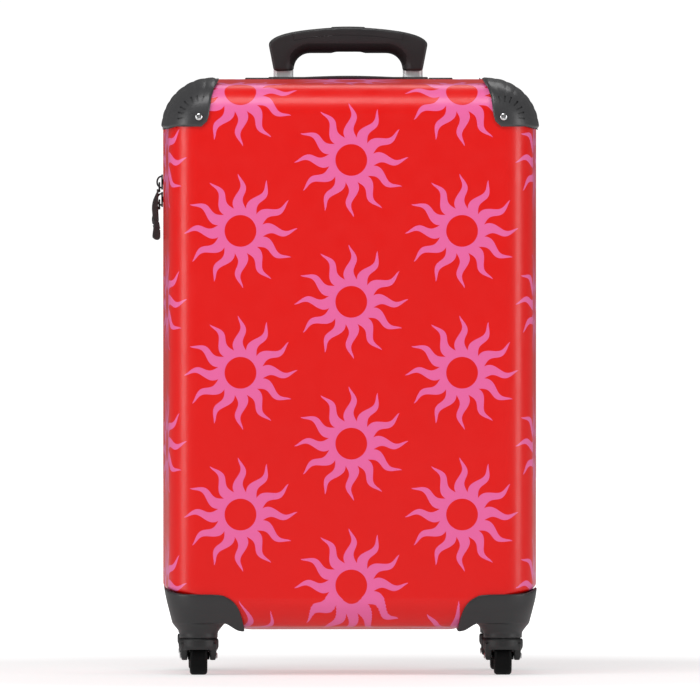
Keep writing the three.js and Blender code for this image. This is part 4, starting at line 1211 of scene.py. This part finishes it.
def wire_ring(path, radius, sides=10):
    """A round wire bent through points in one plane across x, closed into a ring."""
    smooth = [Vector(row) for row in smooth_rows(path, 4, True)]
    count = len(smooth)
    verts = []
    for k, p in enumerate(smooth):
        along = (smooth[(k + 1) % count] - smooth[k - 1]).normalized()
        side = Vector((1, 0, 0))
        up = along.cross(side)
        for m in range(sides):
            turn = 2 * math.pi * m / sides
            verts.append(p + side * (radius * math.cos(turn)) + up * (radius * math.sin(turn)))
    faces = skin_faces(count + 1, sides, capped=False)
    closed = [tuple(v % len(verts) for v in face) for face in faces]
    return face_out(new_object("wire", verts, closed))


def pull(node, lane):
    """A wire link through the crown, and a thick moulded tab that is waisted over a flared, slanted end."""
    low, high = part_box(node)
    bar_z, tip = high.z - PULL_RADIUS, low.z
    link_low = bar_z - 7.4 * MM
    wire = [(2.2, 0), (2.3, -2.5), (1.9, -5), (0.9, -6.2), (-0.9, -6.2), (-1.9, -5), (-2.3, -2.5), (-2.2, 0)]
    link = wire_ring([(PULL_PLANE, y * MM, bar_z + z * MM) for y, z in wire], PULL_RADIUS * 0.92)
    tab_top = link_low + 1.6 * MM
    a, b = lane[0] * MM, lane[1] * MM
    wide, centre = b - a, (a + b) / 2
    edge = [  # in from the tab's side, and its height
        (wide * 0.34, tab_top), (wide * 0.12, tab_top - 5 * MM), (0, tab_top - 13 * MM),
        (wide * 0.08, tip + 16 * MM), (wide * 0.1, tip + 9 * MM), (0, tip + 1.5 * MM), (MM, tip),
    ]
    plan = [(a + y, z) for y, z in edge] + [(b - y, z) for y, z in reversed(edge)]
    near, far = PULL_PLANE + PULL_RADIUS, (tab_top - tip) / (44 * MM)
    tab = prism("tab", plan, near - 12 * MM, near + 4 * MM, "x")
    outer, inner = (
        smooth_curve([(near - out * MM, tab_top - z * MM * far) for z, out in line])
        for line in (PULL_OUTER, PULL_INNER)
    )
    end = [(near - 5.4 * MM, tip + 0.6 * MM), (near - 3.4 * MM, tip), (near - 1.4 * MM, tip + 0.2 * MM)]
    keep(tab, prism("side", outer + end + inner[::-1], a - MM, b + MM, "y"))
    soften(tab, 0.4 * MM, 0.6, 7)
    middle = Matrix.Translation((near - 3.6 * MM, centre, 0))
    core = middle @ Matrix.Diagonal((0.8, 0.86, 1, 1)) @ middle.inverted()
    for rise, tall in ((16.5, 1.1), (10.2, 0.8)):
        slant = mm_points([(-200, 0), (-160, -22), (-160, -22 + tall), (-200, tall)])
        groove = prism("groove", slant, a - MM, b + MM, "y")
        shifted(groove, 0, 0, tip + rise * MM * far + (near + 197 * MM) * GROOVE_SLOPE)
        cut(tab, cut(groove, moved(tab, core)))
    start = (near - 3.4 * MM, min(centre - MM, -1.2 * MM), link_low - MM)
    bridge = block("bridge", start, (near, max(centre + MM, 1.2 * MM), link_low + 1.9 * MM))
    return join(link, bevel(bridge, 0.5 * MM, 3, 50)), tab


for name, lane in (("upper", (-10.5, -3.3)), ("lower", (-2.9, 6.3))):
    slide_node, pull_node = f"zip_slider_{name}", f"zip_pull_{name}"
    settle(slider(slide_node), 35, f"{name}_slider", f"slider_{name}", GUNMETAL, slide_node)
    link, tab = pull(pull_node, lane)
    settle(link, 50, f"{name}_pull_link", f"pull_{name}", GUNMETAL, pull_node)
    settle(tab, 35, f"{name}_pull_tab", f"pull_{name}", (SOFT[0], GUNMETAL[1]), pull_node)

# ---------- fabric hinge ----------
HINGE_THICK = 0.7 * MM
HINGE_ROWS = 90
HINGE_LINE = [(0, 18), (0, 13), (0, 8.5), (0.1, 5.6), (1, 4.2), (1.9, 2.6)]  # out, and off the zip plane
HINGE_BEAD = 2.2


def hinge_fabric():
    """One woven strip from case to lid, folded out into a bead between the shells' rims."""
    low, high = (corner.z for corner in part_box("rear_hinge_tape"))
    x = HALF_WIDTH - WALL - GAP
    line = [*HINGE_LINE, (HINGE_BEAD, 0), *((out, -y) for out, y in reversed(HINGE_LINE))]
    across = smooth_curve([(x + out * MM, y * MM) for out, y in line], 4)
    rings = []
    for k in range(HINGE_ROWS + 1):
        z = low + (high - low) * k / HINGE_ROWS
        front, back = [], []
        for n, p in enumerate(across):
            along = way_at(across, n)
            out = Vector((-along.y, along.x, 0))
            pucker = 0.12 * MM * math.sin(k * 1.7 + n * 0.6) * (1 if abs(p.y) < 5 * MM else 0.3)
            front.append(Vector((p.x, p.y, z)) + out * pucker)
            back.append(Vector((p.x, p.y, z)) + out * (pucker - HINGE_THICK))
        rings.append(front + back[::-1])
    return loft("fabric_hinge", rings), (length_of(across), high - low)


hinge, hinge_size = hinge_fabric()
hinge.data.materials.append(TAPE[0])
apply_modifiers(shade(hinge, 60))
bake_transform(hinge)
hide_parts("rear_hinge_tape", "front_hinge_tape")

# ---------- lining, straps ----------
LINING_IN, LINING_THICK, LINING_START = 3.5 * MM, 0.8 * MM, 9 * MM
LINING_RINGS = 16  # over the flat face
REAR_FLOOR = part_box("rear_lining")[1].y


def crease(x, z, seed):
    """Small waves where cloth is drawn over a flat, from -1 to 1."""
    random.seed(seed)
    value = 0
    for _ in range(5):
        angle, size, shift = random.uniform(0, math.pi), random.uniform(60, 170), random.uniform(0, 6)
        value += math.sin((x * math.cos(angle) + z * math.sin(angle)) * size + shift)
    return value / 5


def slack(p):
    """How loosely the cloth is drawn at a point, as a share."""
    return 0.6 + 0.6 * (crease(p.x, p.z, 5) * 0.5 + crease(p.z, p.x * 2, 9) * 0.5)


def lining(side, floor):
    """Cloth over the inside of a half, loosely drawn, its two layers closed at its rim."""
    levels = wall_levels(-LINING_IN, LINING_START, floor + LINING_IN, 10)
    middle = Vector((0, side * floor, MIDDLE.y))
    skins = []
    for thick in (0, LINING_THICK):
        skin = []
        for depth, inset in levels:
            points = ring(side, depth, inset + thick, 1.4)
            rounded_in = limit((depth - 30 * MM) / (30 * MM))
            for p in points:
                inward = (Vector((0, p.y, MIDDLE.y)) - p).normalized()
                p += inward * (0.5 * MM * slack(p) * rounded_in)
            skin.append(points)
        edge = skin[-1]
        for k in range(1, LINING_RINGS + 1):
            points = [p.lerp(middle, k / (LINING_RINGS + 0.5)) for p in edge]
            for q in points:
                q.y = side * (floor - thick - 1.1 * MM * slack(q) * min(1, k / 3))
            skin.append(points)
        skins.append(skin)
    return loft("lining", skins[1][::-1] + skins[0]), levels


for half, side, body in HALVES:
    made, levels = lining(side, FACE - LINING_IN if side < 0 else REAR_FLOOR)
    settle(made, 60, f"{half}_lining_cloth", body, LINING, f"{half}_lining")


def strap(hand):
    """Webbing over the rear floor that turns up at the wall, and its flat size."""
    low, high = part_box("packing_strap_right")
    z, width, thick = (low.z + high.z) / 2, high.z - low.z, 1.2 * MM
    y, end = low.y + thick / 2, high.x - thick / 2
    path = [(low.x + (end - 5 * MM - low.x) * k / 24, y) for k in range(25)]
    path += [(end - 1.5 * MM, y + 1.2 * MM), (end - 0.2 * MM, y + 4 * MM), (end, y + 8 * MM), (end, high.y)]
    points = [Vector((hand * a, b)) for a, b in path]
    section = rounded_box(0, 0, width, thick, thick * 0.45, 3)
    rings = []
    for k, p in enumerate(points):
        along = way_at(points, k)
        rings.append([Vector((p.x - along.y * s.y, p.y + along.x * s.y, z + s.x)) for s in section])
    return loft("strap", rings), (width, length_of(points))


def buckle():
    """The clip between the straps, with a slot at each end and two windows."""
    low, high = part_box("strap_buckle")
    z, w, middle = (low.z + high.z) / 2, high.x, (low.y + high.y) / 2
    plan = rounded_box(0, z, 2 * w, high.z - low.z, 5 * MM)
    made = bevel(prism("buckle", plan, low.y, high.y, "y"), 1.1 * MM, 4, 60)
    for hand in (-1, 1):
        a, b = sorted((hand * (w + MM), hand * (w - 8.3 * MM)))
        start = (a, middle - 0.9 * MM, z - 12.8 * MM)
        cut(made, block("slot", start, (b, middle + 0.9 * MM, z + 12.8 * MM)))
        for dz in (-7 * MM, 7 * MM):
            window = rounded_box(hand * 9 * MM, z + dz, 8 * MM, 5 * MM, 1.4 * MM, 4)
            cut(made, prism("window", window, low.y - MM, low.y + 1.1 * MM, "y"))
    return made


for hand_name, hand in HANDS:
    made, size = strap(hand)
    settle(made, 60, f"strap_web_{hand_name}", "rear_case", WEBBING, f"packing_strap_{hand_name}")
settle(buckle(), 35, "strap_clip", "rear_case", NYLON, "strap_buckle")

# ---------- CAD nodes that keep their shape ----------
for node in bpy.data.objects:
    if "kingpin" in node.name or node.name == "release_yoke":
        for slot in node.material_slots:
            slot.material = STEEL[0]

# ---------- stage ----------
FLOOR_GLOW, FLOOR_BOUNCE = 0.48, 0.22  # seen by the camera, and sent up to the case
ROOM_LIGHT, ROOM_REFLECTED, ROOM_SEEN = 0.35, 0.12, 1.05
STAGE_MIDDLE = (0, 0, 0.3)
PANELS = (  # place, size and power
    ("left_panel", (-2.6, -1.5, 0.5), (1.0, 2.2), 32),
    ("right_panel", (2.6, -1.5, 0.5), (1.0, 2.2), 31),
    ("top_panel", (-0.5, -1.4, 2.6), (1.8, 1.0), 32),
    ("rear_panel", (0.6, 1.9, 3), (1.8, 1.4), 16),
)
VIEW_DISTANCE = 20
VIEW_YAW, VIEW_RISE = math.radians(-0.8), math.radians(0.8)
VIEW_TARGET = (0.0005, 0, 0.2978)
FRAME_HEIGHT = 0.643  # of the picture, at the case's face


def aim(name, data, place, way):
    """A lamp or a camera at a place, looking along a direction."""
    made = bpy.data.objects.new(name, data)
    made.location = place
    made.rotation_euler = way.to_track_quat("-Z", "Y").to_euler()
    scene.collection.objects.link(made)
    return made


def floor():
    made = block("floor", (-9, -9, -0.02), (9, 9, 0))
    n = Nodes("pale_floor")
    n.set(base_color=n.mix(n.noise(3, 3), (0.6, 0.6, 0.6), (0.62, 0.62, 0.62)), roughness=0.8)
    # Painted light: the floor glows to the camera, weaker near the case so that the shadows there show, and stronger
    # farther out, where it paints the floor white. To every other ray it glows with FLOOR_BOUNCE, lighting the case
    # from below.
    seen = n.add("LightPath").outputs["Is Camera Ray"]
    reach = n.add("VectorMath", {0: n.place}, operation="LENGTH").outputs["Value"]
    glow = n.span(reach, 0.45, 1.3, FLOOR_GLOW, ROOM_SEEN)
    strength = n.plus(n.times(seen, n.minus(glow, FLOOR_BOUNCE)), FLOOR_BOUNCE)
    n.set(emission_color=(1, 1, 1, 1), emission_strength=strength, specular_ior_level=0.1)
    made.data.materials.append(n.material)


def room():
    """A white world, dimmer in reflections than to the camera."""
    scene.world = bpy.data.worlds.new("white_room")
    scene.world.use_nodes = True
    tree = scene.world.node_tree
    glow = tree.nodes["Background"].inputs
    rays = tree.nodes.new("ShaderNodeLightPath").outputs
    reflected, seen = (tree.nodes.new("ShaderNodeMapRange") for _ in range(2))
    reflected.inputs["To Min"].default_value = ROOM_LIGHT
    for ray, choose, level in (("Is Glossy Ray", reflected, ROOM_REFLECTED), ("Is Camera Ray", seen, ROOM_SEEN)):
        tree.links.new(rays[ray], choose.inputs["Value"])
        choose.inputs["To Max"].default_value = level
    tree.links.new(reflected.outputs[0], seen.inputs["To Min"])
    tree.links.new(seen.outputs[0], glow["Strength"])
    glow["Color"].default_value = (1, 1, 1, 1)


def soft_light(name, place, size, power):
    data = bpy.data.lights.new(name, "AREA")
    data.shape = "RECTANGLE"
    data.size, data.size_y = size
    data.energy = power
    aim(name, data, place, Vector(STAGE_MIDDLE) - Vector(place))


def camera():
    data = bpy.data.cameras.new("camera")
    data.sensor_width = 36
    data.lens = 36 * (VIEW_DISTANCE - FACE) / FRAME_HEIGHT
    data.clip_end = 100
    level = math.cos(VIEW_RISE)
    way = Vector((math.sin(VIEW_YAW) * level, -math.cos(VIEW_YAW) * level, math.sin(VIEW_RISE)))
    return aim("camera", data, Vector(VIEW_TARGET) + way * VIEW_DISTANCE, -way)


scene.view_settings.view_transform = "Standard"
floor()
room()
for panel in PANELS:
    soft_light(*panel)
scene.camera = camera()
